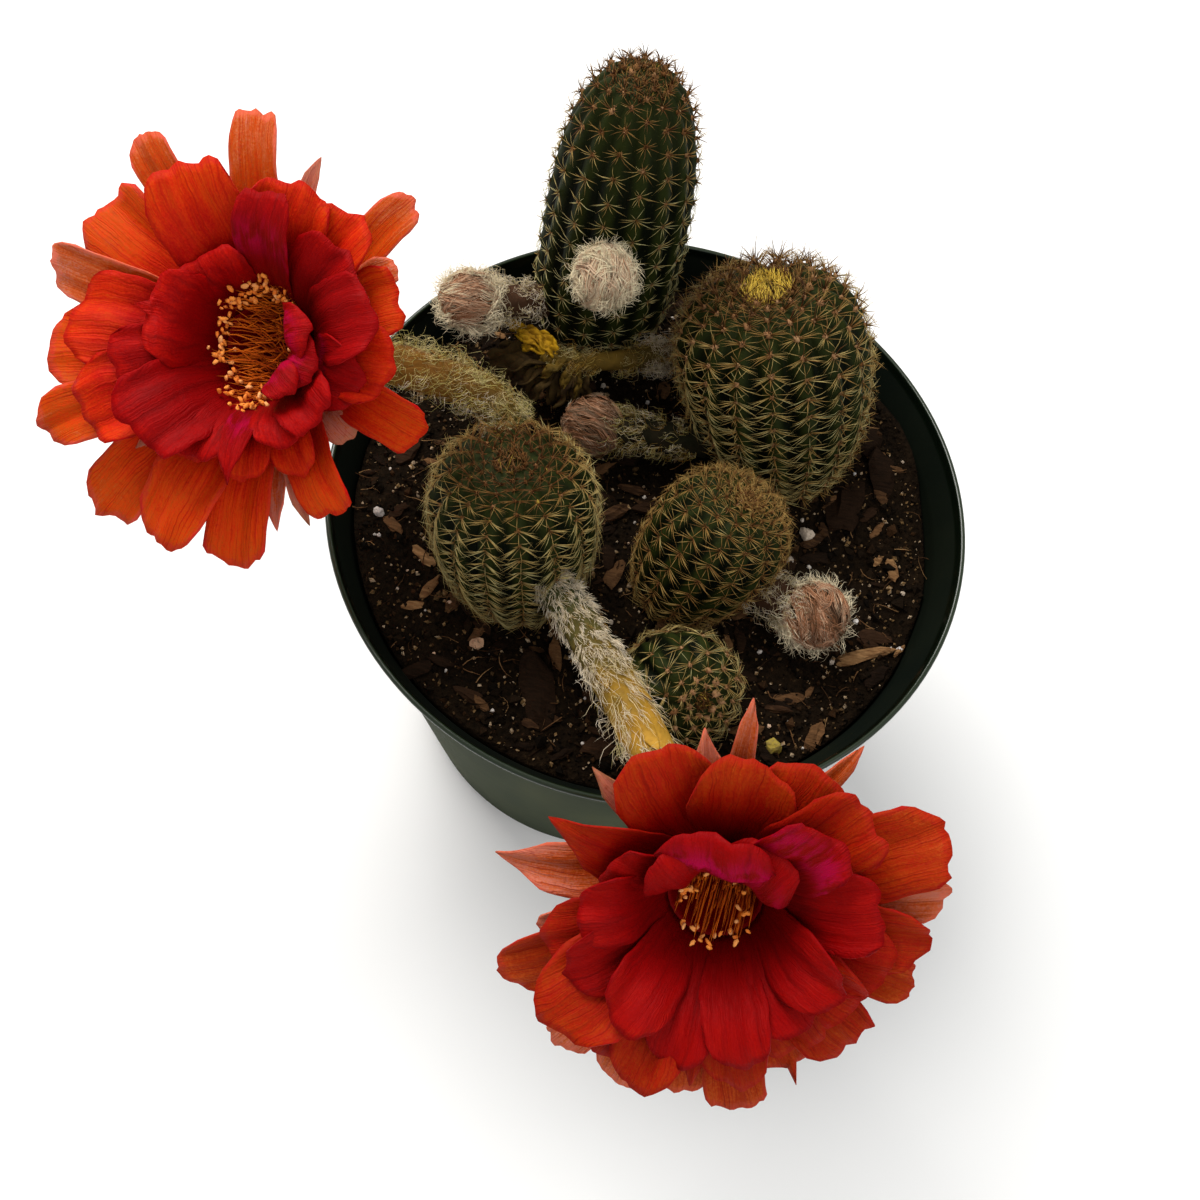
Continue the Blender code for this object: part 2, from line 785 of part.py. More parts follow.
def make_bud(bud):
    """A bud: a narrow tube that swells into a ball, with tufts of wool standing out of both."""
    root, head = Vector(bud.root), Vector(bud.head)
    along = (head - root).normalized()
    run = (head - root).length
    ball = [0.80, 0.45, 0.0, -0.45, -0.80]
    stations = [-ROOT_SINK, 0.4 * run] + [run - offset * bud.head_radius for offset in ball]
    radii = [bud.neck_radius] * 2 + [bud.head_radius * math.sqrt(1 - offset**2) for offset in ball]
    radii[2] = max(radii[2], bud.neck_radius)
    centres = [root + along * station for station in stations]
    if stations[2] <= stations[1]:
        del centres[1], radii[1]
    core = solid(bud.name, *swept(centres, radii, BUD_SIDES, along, along))
    tufts = new_collection("tufts")
    draw = random.Random(bud.seed)
    for way in even_ways(BUD_TUFTS):
        if way.dot(along) > -0.72:
            disorder = Vector([draw.uniform(-TUFT_DISORDER, TUFT_DISORDER) for _ in range(3)])
            place = head + way * (bud.head_radius - TUFT_BASE_RADIUS)
            spike(tufts, place, way + 0.35 * along + disorder, TUFT_LENGTH, TUFT_BASE_RADIUS, TUFT_SINK)
    side_way = along.orthogonal().normalized()
    across = along.cross(side_way)
    neck_rows = int((run - bud.head_radius - NECK_BARE) / NECK_ROW)
    for row in range(neck_rows):
        for turn in range(4):
            angle = math.tau * (turn + 0.5 * (row % 2)) / 4
            out = math.cos(angle) * side_way + math.sin(angle) * across
            place = root + along * (NECK_BARE + NECK_ROW * row) + out * (bud.neck_radius - 0.5)
            spike(tufts, place, out + 0.7 * along, 0.8 * TUFT_LENGTH, TUFT_BASE_RADIUS, TUFT_SINK)
    combine(core, tufts, "UNION", "MANIFOLD")
    dress(core, "bud_wool")


def flower_frame(flower):
    """The flower's facing way, its twelve o'clock and its three o'clock."""
    facing = Vector(flower.facing).normalized()
    twelve = (Vector((0, 1, 0)) - facing * facing.y).normalized()
    return facing, twelve, twelve.cross(facing)


def make_tube(flower):
    """The flower's tube from the stem's flank to its throat cup, with woolly scales."""
    facing = flower_frame(flower)[0]
    end = Vector(flower.centre) - facing * (CUP_BOTTOM + GAP)
    first_way = (Vector(flower.route[1]) - Vector(flower.route[0])).normalized()
    route = smooth_route((*flower.route, end), 2)
    radii = halved_steps((*flower.route_radii, CUP_PROFILE[1][0] - 0.1))
    route[0] = Vector(flower.route[0]) - first_way * ROOT_SINK
    tube = solid(flower.name + "_tube", *swept(route, radii, TUBE_SIDES, first_way, facing))
    scales = new_collection("scales")
    for i, centre, radius, along, out in round_the_route(route, radii, 2.2, len(route) - 2.0, TUBE_SCALES):
        place = centre + out * (radius - TUFT_BASE_RADIUS)
        spike(scales, place, 0.75 * out + along, SCALE_LENGTH, SCALE_BASE_RADIUS, TUFT_SINK)
    combine(tube, scales, "UNION", "MANIFOLD")
    dress(tube, "tube_wool")


def halved_steps(values):
    """The values with the mean of each pair of neighbours between them."""
    steps = []
    for value, after in zip(values, values[1:]):
        steps += [value, (value + after) / 2]
    return [*steps, values[-1]]


def round_the_route(route, radii, first, last, count):
    """Places along a route from its point number first to last, turned round it by the golden angle."""
    for i in range(count):
        at = first + (last - first) * i / (count - 1)
        low, share = int(at), at - int(at)
        along = (route[low + 1] - route[low]).normalized()
        side_way = along.orthogonal().normalized()
        out = math.cos(GOLDEN_ANGLE * i) * side_way + math.sin(GOLDEN_ANGLE * i) * along.cross(side_way)
        radius = radii[low] + share * (radii[low + 1] - radii[low])
        yield i, route[low].lerp(route[low + 1], share), radius, along, out


def bezier(a, b, c, d, t):
    """A point of the cubic curve from a to d with handles b and c."""
    return a * (1 - t) ** 3 + 3 * b * t * (1 - t) ** 2 + 3 * c * t**2 * (1 - t) + d * t**3


def between(first, second, degrees):
    """The unit way that lies that many degrees from the first towards the second."""
    return math.cos(math.radians(degrees)) * first + math.sin(math.radians(degrees)) * second


def petal_blade(collection, flower, ring, clock, reach, width, stagger):
    """One petal: a blade of lens section, arched along its length and cupped across it."""
    facing, twelve, three = flower_frame(flower)
    rise, leave, point_way, root_radius, root_height = RING_FORMS[ring]
    rise += stagger
    out = between(twelve, three, clock)
    side_way = facing.cross(out)
    root = Vector(flower.centre) + root_radius * out + root_height * facing
    tip = Vector(flower.centre) + reach * between(out, facing, rise)
    handle = BLADE_HANDLE * reach
    root_handle = root + handle * between(out, facing, leave)
    tip_handle = tip - handle * between(out, facing, point_way)
    handles = (root, root_handle, tip_handle, tip)
    points = []
    for share, wide, thick in BLADE_ROWS:
        middle = bezier(*handles, share)
        before, after = bezier(*handles, max(share - 0.02, 0.0)), bezier(*handles, min(share + 0.02, 1.0))
        along = (after - before).normalized()
        face_way = along.cross(side_way).normalized()
        if face_way.dot(facing) < 0:
            face_way = -face_way
        half = 0.5 * width * wide
        lift = face_way * BLADE_CUPPING * half * (share > 0)
        points += [middle - side_way * half + lift, middle + face_way * BLADE_HALF_THICKNESS * thick]
        points += [middle + side_way * half + lift, middle - face_way * BLADE_HALF_THICKNESS * thick]
    faces = [(0, 1, 3), (1, 2, 3)]
    last = 4 * (len(BLADE_ROWS) - 1)
    faces += [(last, last + 3, last + 1), (last + 1, last + 3, last + 2)]
    for row in range(len(BLADE_ROWS) - 1):
        a, b = 4 * row, 4 * row + 4
        for edge, middle_point in ((0, 1), (0, 3), (2, 1), (2, 3)):
            faces += [(a + edge, a + middle_point, b + edge), (a + middle_point, b + middle_point, b + edge)]
    solid("petal", points, faces, collection)


def placed(flower, points):
    """Points of a turned shape moved onto the flower's own axis."""
    facing, twelve, three = flower_frame(flower)
    return [Vector(flower.centre) + p[0] * three + p[1] * twelve + p[2] * facing for p in points]


def make_petals(flower):
    """The throat cup and every petal and sepal of a flower."""
    points, faces = turned(CUP_PROFILE, CUP_SIDES)
    cup = solid(flower.name + "_petals", placed(flower, points), faces)
    blades = new_collection("blades")
    for ring, petals in flower.petals:
        for i, (clock, reach, width) in enumerate(petals):
            petal_blade(blades, flower, ring, clock, reach, width, STAGGER * (-1) ** i)
    combine(cup, blades, "UNION", "MANIFOLD")
    dress(cup, "petal")


def make_stamens(flower):
    """A cluster of filaments on one low base, each ending in an anther."""
    facing = flower_frame(flower)[0]
    low, high = STAMEN_BASE
    profile = ((0.0, low), (STAMEN_BASE_RADIUS - 0.2, low), (STAMEN_BASE_RADIUS, high), (0.0, high + 0.4))
    points, faces = turned(profile, 10)
    base = solid(flower.name + "_stamens", placed(flower, points), faces)
    threads = new_collection("threads")
    for i in range(STAMENS):
        share = math.sqrt((i + 0.5) / STAMENS)
        ends = []
        for spread, height in zip(STAMEN_SPREAD, (high - 1.0, 0.8 * share - 1.2)):
            radius = spread * share
            ends.append((radius * math.cos(GOLDEN_ANGLE * i), radius * math.sin(GOLDEN_ANGLE * i), height))
        foot, top = placed(flower, ends)
        way = (top - foot).normalized()
        solid("thread", *swept([foot, top], THREAD_RADII, 3, way, way), threads)
        anther(threads, top + 0.3 * way, facing)
    combine(base, threads, "UNION", "MANIFOLD")
    dress(base, "stamen")


def anther(collection, middle, way):
    """An anther: an octahedron a little longer than wide."""
    side_way = way.orthogonal().normalized()
    across = way.cross(side_way)
    points = [middle + ANTHER_RADIUS * w for w in (side_way, across, -side_way, -across)]
    points += [middle + ANTHER_HALF_LENGTH * way, middle - ANTHER_HALF_LENGTH * way]
    solid("anther", points, OCTAHEDRON, collection)


def make_spent_flower():
    """The spent flower: a woolly root at the barrel, a shrunken tube, two dry lobes and a ragged corolla."""
    first_way = (Vector(SPENT_ROUTE[1]) - Vector(SPENT_ROUTE[0])).normalized()
    route = smooth_route(SPENT_ROUTE, 2)
    radii = halved_steps(SPENT_RADII)
    route[0] = Vector(SPENT_ROUTE[0]) - first_way * ROOT_SINK
    tube = solid("spent_flower", *swept(route, radii, BUD_SIDES, first_way))
    parts = new_collection("dry_parts")
    for start, end, width in (*SPENT_LOBES, *SPENT_RAGS):
        start, end = Vector(start), Vector(end)
        way = (end - start).normalized()
        lobe_radii = [share * width for share in LOBE_SHARES]
        solid("lobe", *swept([start, start.lerp(end, 0.55), end], lobe_radii, 5, way, way), parts)
    for i, centre, radius, along, out in round_the_route(route, radii, 1.6, 5.0, SPENT_TUFTS):
        if out.z > -0.5:
            place = centre + out * (radius - TUFT_BASE_RADIUS)
            spike(parts, place, out + 0.5 * along, 0.8 * TUFT_LENGTH, TUFT_BASE_RADIUS, TUFT_SINK)
    combine(tube, parts, "UNION", "MANIFOLD")
    dress(tube, "withered")


def main():
    """Builds every piece."""
    clear_scene()
    make_pot()
    make_soil()
    balls = keep_outs()
    for key, stem in STEMS.items():
        make_stem(key, stem, balls)
    for bud in BUDS:
        make_bud(bud)
    make_spent_flower()
    for flower in FLOWERS:
        make_tube(flower)
        make_petals(flower)
        make_stamens(flower)


main()
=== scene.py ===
"""The looks of a potted peanut cactus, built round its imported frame.

Sizes are in millimetres and become metres where a mesh is made. The pot's foot stands on z = 0, its axis is
x = y = 0, and the tall column stands towards +Y.
"""
import logging
import math
from collections.abc import Callable
from dataclasses import dataclass
from enum import Enum

import bpy
import numpy as np
from mathutils import Matrix, Vector, noise


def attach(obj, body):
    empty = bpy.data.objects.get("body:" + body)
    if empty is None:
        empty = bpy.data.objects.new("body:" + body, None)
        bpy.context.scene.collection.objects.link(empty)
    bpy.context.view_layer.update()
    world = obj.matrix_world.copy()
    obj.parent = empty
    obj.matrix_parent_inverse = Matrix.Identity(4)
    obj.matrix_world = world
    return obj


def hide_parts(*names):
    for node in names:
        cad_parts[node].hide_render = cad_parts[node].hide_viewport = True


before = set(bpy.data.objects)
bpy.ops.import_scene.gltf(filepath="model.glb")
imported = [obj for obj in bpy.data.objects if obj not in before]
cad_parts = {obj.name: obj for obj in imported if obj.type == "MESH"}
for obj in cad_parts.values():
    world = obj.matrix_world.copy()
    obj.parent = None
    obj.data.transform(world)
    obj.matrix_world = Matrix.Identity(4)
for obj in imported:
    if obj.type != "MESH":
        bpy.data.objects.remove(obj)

Array = np.ndarray
Random = np.random.Generator
Piece = bpy.types.Object
Material = bpy.types.Material
Colour = tuple[float, float, float]
Point = tuple[float, float, float]
Pair = tuple[float, float]
Radii = tuple[float, ...]
Route = tuple[Point, ...]
Stops = tuple[tuple[float, Colour], ...]
# The paths, root radii and tones of strands
Strands = tuple[Array, Array, Array]
# The way that a flower faces, its twelve o'clock and its three o'clock
Axes = tuple[Array, Array, Array]

log = logging.getLogger("cactus")
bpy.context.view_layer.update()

MM = 0.001
TURN = math.tau
GOLDEN_ANGLE = math.pi * (3 - math.sqrt(5))
BODY = "root"
UP = np.array((0.0, 0.0, 1.0))
# Root, middle and tip of a straight hair, as shares of its length
THREE_STEPS = np.array((0.0, 0.5, 1.0))[:, None]


def unit(ways: Array) -> Array:
    """The same ways, each with a length of one."""
    return ways / np.maximum(np.linalg.norm(ways, axis=-1, keepdims=True), 1e-9)


def smooth(value: Array, low: float, high: float) -> Array:
    """A share that eases from 0 at low to 1 at high."""
    share = np.clip((value - low) / (high - low), 0, 1)
    return share * share * (3 - 2 * share)


def around(angle: Array, side: Array, across: Array) -> Array:
    """The ways at angles round a centre, from two ways that are square to each other."""
    return np.cos(angle)[..., None] * side + np.sin(angle)[..., None] * across


def across_ways(along: Array) -> tuple[Array, Array]:
    """Two ways square to each of the given ways and to each other."""
    flat = np.where(np.abs(along[..., 2:]) < 0.9, UP, np.array((1.0, 0.0, 0.0)))
    side = unit(np.cross(flat, along))
    return side, np.cross(along, side)


def even_ways(count: int) -> Array:
    """That many ways, spread evenly over a ball."""
    index = np.arange(count)
    height = 1 - (2 * index + 1) / count
    flat = np.sqrt(1 - height**2)
    angle = GOLDEN_ANGLE * index
    return np.stack((flat * np.cos(angle), flat * np.sin(angle), height), axis=1)


def turned_about(axes: Array, angles: Array, ways: Array) -> Array:
    """Ways (n x 3) turned about their axes (n x 3) by angles (n x k), as n x k x 3."""
    c, s = np.cos(angles)[..., None], np.sin(angles)[..., None]
    axis, flat = axes[:, None], ways[:, None]
    return flat * c + np.cross(axis, flat) * s + axis * (flat * axis).sum(axis=2, keepdims=True) * (1 - c)


def curve_through(points: Route, shares: Array) -> Array:
    """Places on a smooth curve.

    Args:
        points: What the curve runs through.
        shares: Shares of its run, from 0 to 1.

    Returns:
        A place for each share.
    """
    knots = np.array(points, float)
    knots = np.vstack((2 * knots[0] - knots[1], knots, 2 * knots[-1] - knots[-2]))
    at = np.clip(shares, 0, 1 - 1e-6) * (len(points) - 1)
    low = at.astype(int)
    t = (at - low)[..., None]
    a, b, c, d = (knots[low + step] for step in range(4))
    square, cube = 2 * a - 5 * b + 4 * c - d, 3 * b - a - 3 * c + d
    return 0.5 * (2 * b + (c - a) * t + square * t**2 + cube * t**3)


def run_of(route: Route, share: Array) -> tuple[Array, Array]:
    """The places on a route and the ways along it."""
    ahead = curve_through(route, np.clip(share + 0.015, 0, 1))
    behind = curve_through(route, np.clip(share - 0.015, 0, 1))
    return curve_through(route, share), unit(ahead - behind)


def select_only(piece: Piece) -> None:
    """Makes a piece the only selected one and the active one."""
    bpy.ops.object.select_all(action="DESELECT")
    piece.select_set(True)
    bpy.context.view_layer.objects.active = piece


def shade(piece: Piece) -> None:
    """Shades a piece smooth all over."""
    select_only(piece)
    bpy.ops.object.shade_smooth()


def points_of(piece: Piece) -> Array:
    """The points of a piece, in millimetres."""
    return np.array([v.co for v in piece.data.vertices]) / MM


def new_piece(name: str, points: Array, faces: Array) -> Piece:
    """A new piece.

    Args:
        name: Its name.
        points: Its points, in millimetres.
        faces: Its triangles, as numbers of points.

    Returns:
        The piece, with its place in its mesh.
    """
    mesh = bpy.data.meshes.new(name)
    mesh.from_pydata(points.reshape(-1, 3) * MM, [], faces.reshape(-1, 3))
    piece = bpy.data.objects.new(name, mesh)
    bpy.context.scene.collection.objects.link(piece)
    return piece


def shaped_grid(
    name: str, columns: int, rows: int, place: Callable[[Array, Array], Array], weld: bool = True
) -> Piece:
    """A grid primitive whose points are moved by a formula.

    Args:
        name: The new piece's name.
        columns: Faces along the first way.
        rows: Faces along the second way.
        place: Gives points in millimetres for shares of 0 to 1 along both ways.
        weld: Whether seams and poles are merged and the shape is turned to face outwards.

    Returns:
        The new piece, with its place in its mesh.
    """
    bpy.ops.object.select_all(action="DESELECT")
    bpy.ops.mesh.primitive_grid_add(x_subdivisions=columns, y_subdivisions=rows, size=2)
    piece = bpy.context.object
    piece.name = name
    points = np.zeros(3 * len(piece.data.vertices), np.float32)
    piece.data.vertices.foreach_get("co", points)
    shares = (points.reshape(-1, 3)[:, :2] + 1) / 2
    moved = place(shares[:, 0].astype(float), shares[:, 1].astype(float)) * MM
    piece.data.vertices.foreach_set("co", moved.astype(np.float32).ravel())
    piece.data.update()
    if weld:
        bpy.ops.object.mode_set(mode="EDIT")
        bpy.ops.mesh.select_all(action="SELECT")
        bpy.ops.mesh.remove_doubles(threshold=1e-6)
        bpy.ops.mesh.normals_make_consistent(inside=False)
        bpy.ops.object.mode_set(mode="OBJECT")
    bpy.ops.object.shade_smooth()
    return piece


def turned(name: str, profile: list[Pair], sides: int) -> Piece:
    """A closed piece turned about the Z axis.

    Args:
        name: The new piece's name.
        profile: The radii and heights of its section, which starts and ends on the axis.
        sides: Faces round the axis.

    Returns:
        The new piece.
    """
    outline = np.array(profile)

    def place(u: Array, v: Array) -> Array:
        radius, height = outline[np.rint(v * (len(profile) - 1)).astype(int)].T
        return np.stack((radius * np.cos(TURN * u), radius * np.sin(TURN * u), height), axis=1)

    return shaped_grid(name, sides, len(profile) - 1, place)


def add_layer(piece: Piece, layer: str, values: Array | float) -> None:
    """Stores one number for each point of a piece, for its material to read."""
    values = np.broadcast_to(np.asarray(values, np.float32).ravel(), len(piece.data.vertices))
    piece.data.attributes.new(layer, "FLOAT", "POINT").data.foreach_set("value", np.ascontiguousarray(values))


def join(name: str, pieces: list[Piece]) -> Piece:
    """One piece from several."""
    bpy.ops.object.select_all(action="DESELECT")
    for piece in pieces:
        piece.select_set(True)
    bpy.context.view_layer.objects.active = pieces[0]
    bpy.ops.object.join()
    pieces[0].name = name
    return pieces[0]


def apply_modifier(piece: Piece, kind: str, **settings: object) -> None:
    """Adds a modifier with those settings and applies it."""
    select_only(piece)
    bpy.ops.object.modifier_add(type=kind)
    modifier = piece.modifiers[-1]
    for setting, value in settings.items():
        setattr(modifier, setting, value)
    bpy.ops.object.modifier_apply(modifier=modifier.name)


def thickened(piece: Piece, thickness: float) -> Piece:
    """A sheet that is given its thickness in millimetres, half of it on either side."""
    apply_modifier(piece, "SOLIDIFY", thickness=thickness * MM, offset=0.0)
    return piece


def strands(name: str, paths: Array, radii: Array, tones: Array, taper: float = 0.7) -> Piece:
    """Thin three-sided strands that end in a point, such as spines, hairs and filaments, as one mesh.

    Args:
        name: The new piece's name.
        paths: Points of each strand from root to tip, as strands x points x 3, in millimetres.
        radii: The root radius of each strand.
        tones: A number for each strand that its material reads as "tone".
        taper: How much of the radius is lost just before the tip.

    Returns:
        The new piece. Its material may also read "reach", from 0 at a root to 1 at a tip.
    """
    count, knots, _ = paths.shape
    along = unit(np.gradient(paths, axis=1))
    chord = paths[:, -1] - paths[:, 0]
    helper = np.eye(3)[np.abs(chord).argmin(axis=1)][:, None, :]
    side = unit(np.cross(along, helper))
    across = np.cross(along, side)
    ring = around(TURN * np.arange(3) / 3, side[:, :-1, None], across[:, :-1, None])
    reach = np.linspace(0, 1, knots)
    width = radii[:, None] * (1 - taper * reach[:-1])
    rings = paths[:, :-1, None] + width[..., None, None] * ring
    points = np.concatenate((rings.reshape(count, -1, 3), paths[:, -1:]), axis=1)
    faces = [(0, 2, 1)]
    for low in range(0, 3 * (knots - 2), 3):
        for turn in range(3):
            after = (turn + 1) % 3
            near, far = low + turn, low + 3 + after
            faces += [(near, low + after, far), (near, far, low + 3 + turn)]
    tip = 3 * (knots - 1)
    faces += [(tip - 3 + turn, tip - 3 + (turn + 1) % 3, tip) for turn in range(3)]
    starts = (tip + 1) * np.arange(count)
    piece = new_piece(name, points, np.array(faces) + starts[:, None, None])
    piece.data.shade_smooth()
    add_layer(piece, "tone", np.repeat(tones, tip + 1))
    add_layer(piece, "reach", np.tile(np.append(np.repeat(reach[:-1], 3), 1.0), count))
    return piece


def curly(
    draw: Random, start: Array, way: Array, length: Array, beats: Pair, curl: float, fall: Array
) -> Array:
    """The paths of curly hairs, five points for each.

    Args:
        draw: The source of random numbers.
        start: The root of each hair.
        way: The way that each hair grows.
        length: The length of each hair.
        beats: The least and the most that a hair winds, in radians.
        curl: How wide the hairs wind, as a share of their length.
        fall: The way that each hair's tip falls back, and how far as a share of its length.

    Returns:
        The paths, as hairs x 5 x 3.
    """
    first, second = across_ways(way)
    steps = np.linspace(0, 1, 5)[None, :, None]
    phase, beat = draw.uniform(0, TURN, (len(way), 1, 1)), draw.uniform(*beats, (len(way), 1, 1))
    wave = first[:, None] * (np.sin(beat * steps + phase) - np.sin(phase))
    wave = wave + second[:, None] * (np.cos(beat * steps + phase) - np.cos(phase))
    paths = way[:, None] * steps + curl * wave - fall[:, None] * steps**2
    return start[:, None] + length[:, None, None] * paths


def grains(name: str, places: Array, sizes: Array, tones: Array, draw: Random, detail: int = 0) -> Piece:
    """Rough grains of one mesh, each an uneven copy of one ball.

    Args:
        name: The new piece's name.
        places: The middle of each grain, in millimetres.
        sizes: The three half sizes of each grain.
        tones: A number for each grain that its material reads as "tone".
        draw: The source of random numbers.
        detail: The subdivisions of the ball, or 0 for one of eight faces.

    Returns:
        The new piece.
    """
    bpy.ops.object.select_all(action="DESELECT")
    if detail:
        bpy.ops.mesh.primitive_ico_sphere_add(subdivisions=detail, radius=1)
    else:
        bpy.ops.mesh.primitive_cone_add(vertices=4, radius1=1, depth=2, end_fill_type="TRIFAN")
    ball = bpy.context.object
    shape = np.array([v.co for v in ball.data.vertices])
    if not detail:
        shape[np.hypot(shape[:, 0], shape[:, 1]) > 0.5, 2] = 0.0
    faces = np.array([p.vertices for p in ball.data.polygons])
    bpy.data.objects.remove(ball, do_unlink=True)
    count = len(places)
    uneven = shape[None] * (1 + draw.uniform(-0.28, 0.28, (count, len(shape), 1))) * sizes[:, None]
    turns = unit(draw.normal(size=(count, 4)))[:, None]
    spin = 2 * np.cross(turns[..., 1:], uneven)
    points = places[:, None] + uneven + turns[..., :1] * spin + np.cross(turns[..., 1:], spin)
    piece = new_piece(name, points, faces + len(shape) * np.arange(count)[:, None, None])
    add_layer(piece, "tone", np.repeat(tones, len(shape)))
    return piece


class Value:
    """A number, colour or vector of a shader graph, on which Python's operators work."""

    def __init__(self, graph: "Graph", socket: bpy.types.NodeSocket) -> None:
        """Wraps an output socket of a node of the graph."""
        self.graph = graph
        self.socket = socket

    def maths(self, operation: str, first: object, second: object = 0.0) -> "Value":
        """A Math node on two values or numbers."""
        return self.graph.node("ShaderNodeMath", {"operation": operation}, {0: first, 1: second})

    def __add__(self, other: object) -> "Value":
        """The sum."""
        return self.maths("ADD", self, other)

    __radd__ = __add__

    def __sub__(self, other: object) -> "Value":
        """This less the other."""
        return self.maths("SUBTRACT", self, other)

    def __rsub__(self, other: object) -> "Value":
        """The other less this."""
        return self.maths("SUBTRACT", other, self)

    def __mul__(self, other: object) -> "Value":
        """The product."""
        return self.maths("MULTIPLY", self, other)

    __rmul__ = __mul__

    def __abs__(self) -> "Value":
        """This without its sign."""
        return self.maths("ABSOLUTE", self)

    def above(self, low: float, high: float) -> "Value":
        """A share that eases from 0 where this is low to 1 where it is high."""
        inputs = {"Value": self, "From Min": low, "From Max": high}
        return self.graph.node("ShaderNodeMapRange", {"interpolation_type": "SMOOTHSTEP"}, inputs)


class Graph:
    """The node tree of one material. All of its nodes come from node()."""

    def __init__(self, name: str) -> None:
        """Makes the material with its Principled BSDF."""
        self.material = bpy.data.materials.new(name)
        self.material.use_nodes = True
        self.tree = self.material.node_tree
        self.shader = self.tree.nodes["Principled BSDF"]

    def node(
        self, kind: str, settings: dict | None = None, inputs: dict | None = None, output: int | str = 0
    ) -> Value:
        """Adds a node.

        Args:
            kind: The node's type.
            settings: Its own settings, set first. "stops" are a ramp's stops, as (position, colour).
            inputs: Numbers or values for its sockets, by name or number.
            output: The output to read.

        Returns:
            That output as a value.
        """
        made = self.tree.nodes.new(kind)
        for key, setting in (settings or {}).items():
            if key == "stops":
                self.set_stops(made.color_ramp, setting)
            else:
                setattr(made, key, setting)
        for key, value in (inputs or {}).items():
            self.feed(made.inputs[key], value)
        return Value(self, made.outputs[output])

    def feed(self, socket: bpy.types.NodeSocket, value: object) -> None:
        """Links a value to a socket, or sets the socket to a number or colour."""
        if isinstance(value, Value):
            self.tree.links.new(value.socket, socket)
        else:
            socket.default_value = value

    @staticmethod
    def set_stops(ramp: bpy.types.ColorRamp, stops: Stops) -> None:
        """Gives a ramp its stops."""
        while len(ramp.elements) < len(stops):
            ramp.elements.new(1.0)
        for element, (position, colour) in zip(ramp.elements, stops):
            element.position = position
            element.color = (*colour, 1.0)

    def finish(self, **sockets: object) -> Material:
        """Feeds the Principled BSDF.

        Args:
            sockets: The values of its sockets, by their names with underscores for spaces.

        Returns:
            The finished material.
        """
        for socket, value in sockets.items():
            self.feed(self.shader.inputs[socket.replace("_", " ")], value)
        return self.material

    def place(self, scale: Point | None = None) -> Value:
        """The object coordinates in metres, stretched by a scale where one is given."""
        place = self.node("ShaderNodeTexCoord", output="Object")
        return self.node("ShaderNodeMapping", inputs={"Vector": place, "Scale": scale}) if scale else place

    def layer(self, name: str) -> Value:
        """A number stored on the mesh."""
        return self.node("ShaderNodeAttribute", {"attribute_name": name}, output="Fac")

    def uv(self) -> tuple[Value, Value]:
        """The two shares of the piece's own UV map."""
        place = self.node("ShaderNodeUVMap", {"uv_map": "UVMap"})
        split = self.node("ShaderNodeSeparateXYZ", inputs={0: place})
        return split, Value(self, split.socket.node.outputs[1])

    def vector(self, x: object, y: object, z: object) -> Value:
        """A vector from three numbers or values."""
        return self.node("ShaderNodeCombineXYZ", inputs={0: x, 1: y, 2: z})

    def noise(self, scale: float, detail: float = 3.0, at: Value | None = None) -> Value:
        """Soft noise from 0 to 1. Its scale is in patches a metre on object coordinates."""
        inputs = {"Vector": at or self.place(), "Scale": scale, "Detail": detail}
        return self.node("ShaderNodeTexNoise", inputs=inputs)

    def ramp(self, share: Value, *stops: tuple[float, Colour]) -> Value:
        """A colour ramp read at a share."""
        return self.node("ShaderNodeValToRGB", {"stops": stops}, {0: share})

    def mix(self, share: object, first: object, second: object) -> Value:
        """A colour between two colours."""
        inputs = {0: share, 6: self.opaque(first), 7: self.opaque(second)}
        return self.node("ShaderNodeMix", {"data_type": "RGBA", "clamp_factor": True}, inputs, output=2)

    @staticmethod
    def opaque(colour: object) -> object:
        """A plain colour with its alpha of one, or a value as it is."""
        return colour if isinstance(colour, Value) else (*colour, 1.0)

    def bump(self, height: Value, distance: float, strength: float = 1.0) -> Value:
        """A normal from a height of 0 to 1 that stands for that many metres."""
        inputs = {"Height": height, "Distance": distance, "Strength": strength}
        return self.node("ShaderNodeBump", inputs=inputs)


@dataclass(frozen=True)
class Plastic:
    """Thin moulded pot plastic: dark green, glossy at the lip, dusty on the wall, painted darker inside as
    shade.
    """

    lip: Colour = (0.0110, 0.0190, 0.0085)
    wall: Colour = (0.017, 0.026, 0.010)
    # Painted shade: the inside of the pot, far darker than the same plastic outside
    inside: Colour = (0.0010, 0.0030, 0.0014)
    dust: Colour = (0.058, 0.066, 0.026)

    def material(self) -> Material:
        """The pot's material, which reads "inner" and "height"."""
        graph = Graph("pot_plastic")
        inner = graph.layer("inner")
        bead = graph.layer("height").above(0.976, 0.984)
        colour = graph.mix(inner, graph.mix(bead, self.wall, self.lip), self.inside)
        cloud = graph.noise(24.0, 6.0)
        streak = graph.noise(1.0, 6.0, graph.place((60.0, 60.0, 9.0)))
        ring = graph.noise(1.0, 3.0, graph.place((14.0, 14.0, 260.0)))
        haze = cloud.above(0.30, 0.75) * 0.45 + streak.above(0.38, 0.76) * 0.30 + ring.above(0.5, 0.8) * 0.18
        specks = graph.noise(1300.0, 1.0).above(0.68, 0.76) * 0.35
        colour = graph.mix((haze + specks * 0.5) * (1 - inner * 0.9) * (1 - bead * 0.8), colour, self.dust)
        grain = graph.noise(900.0, 3.0) * 0.5 + cloud * 0.5
        return graph.finish(
            Base_Color=colour,
            Roughness=0.74 - bead * 0.44 + specks * 0.2,
            Coat_Weight=bead * 0.5,
            Coat_Roughness=0.16,
            Normal=graph.bump(grain, 0.00008, 0.5),
            Specular_IOR_Level=0.10,
        )


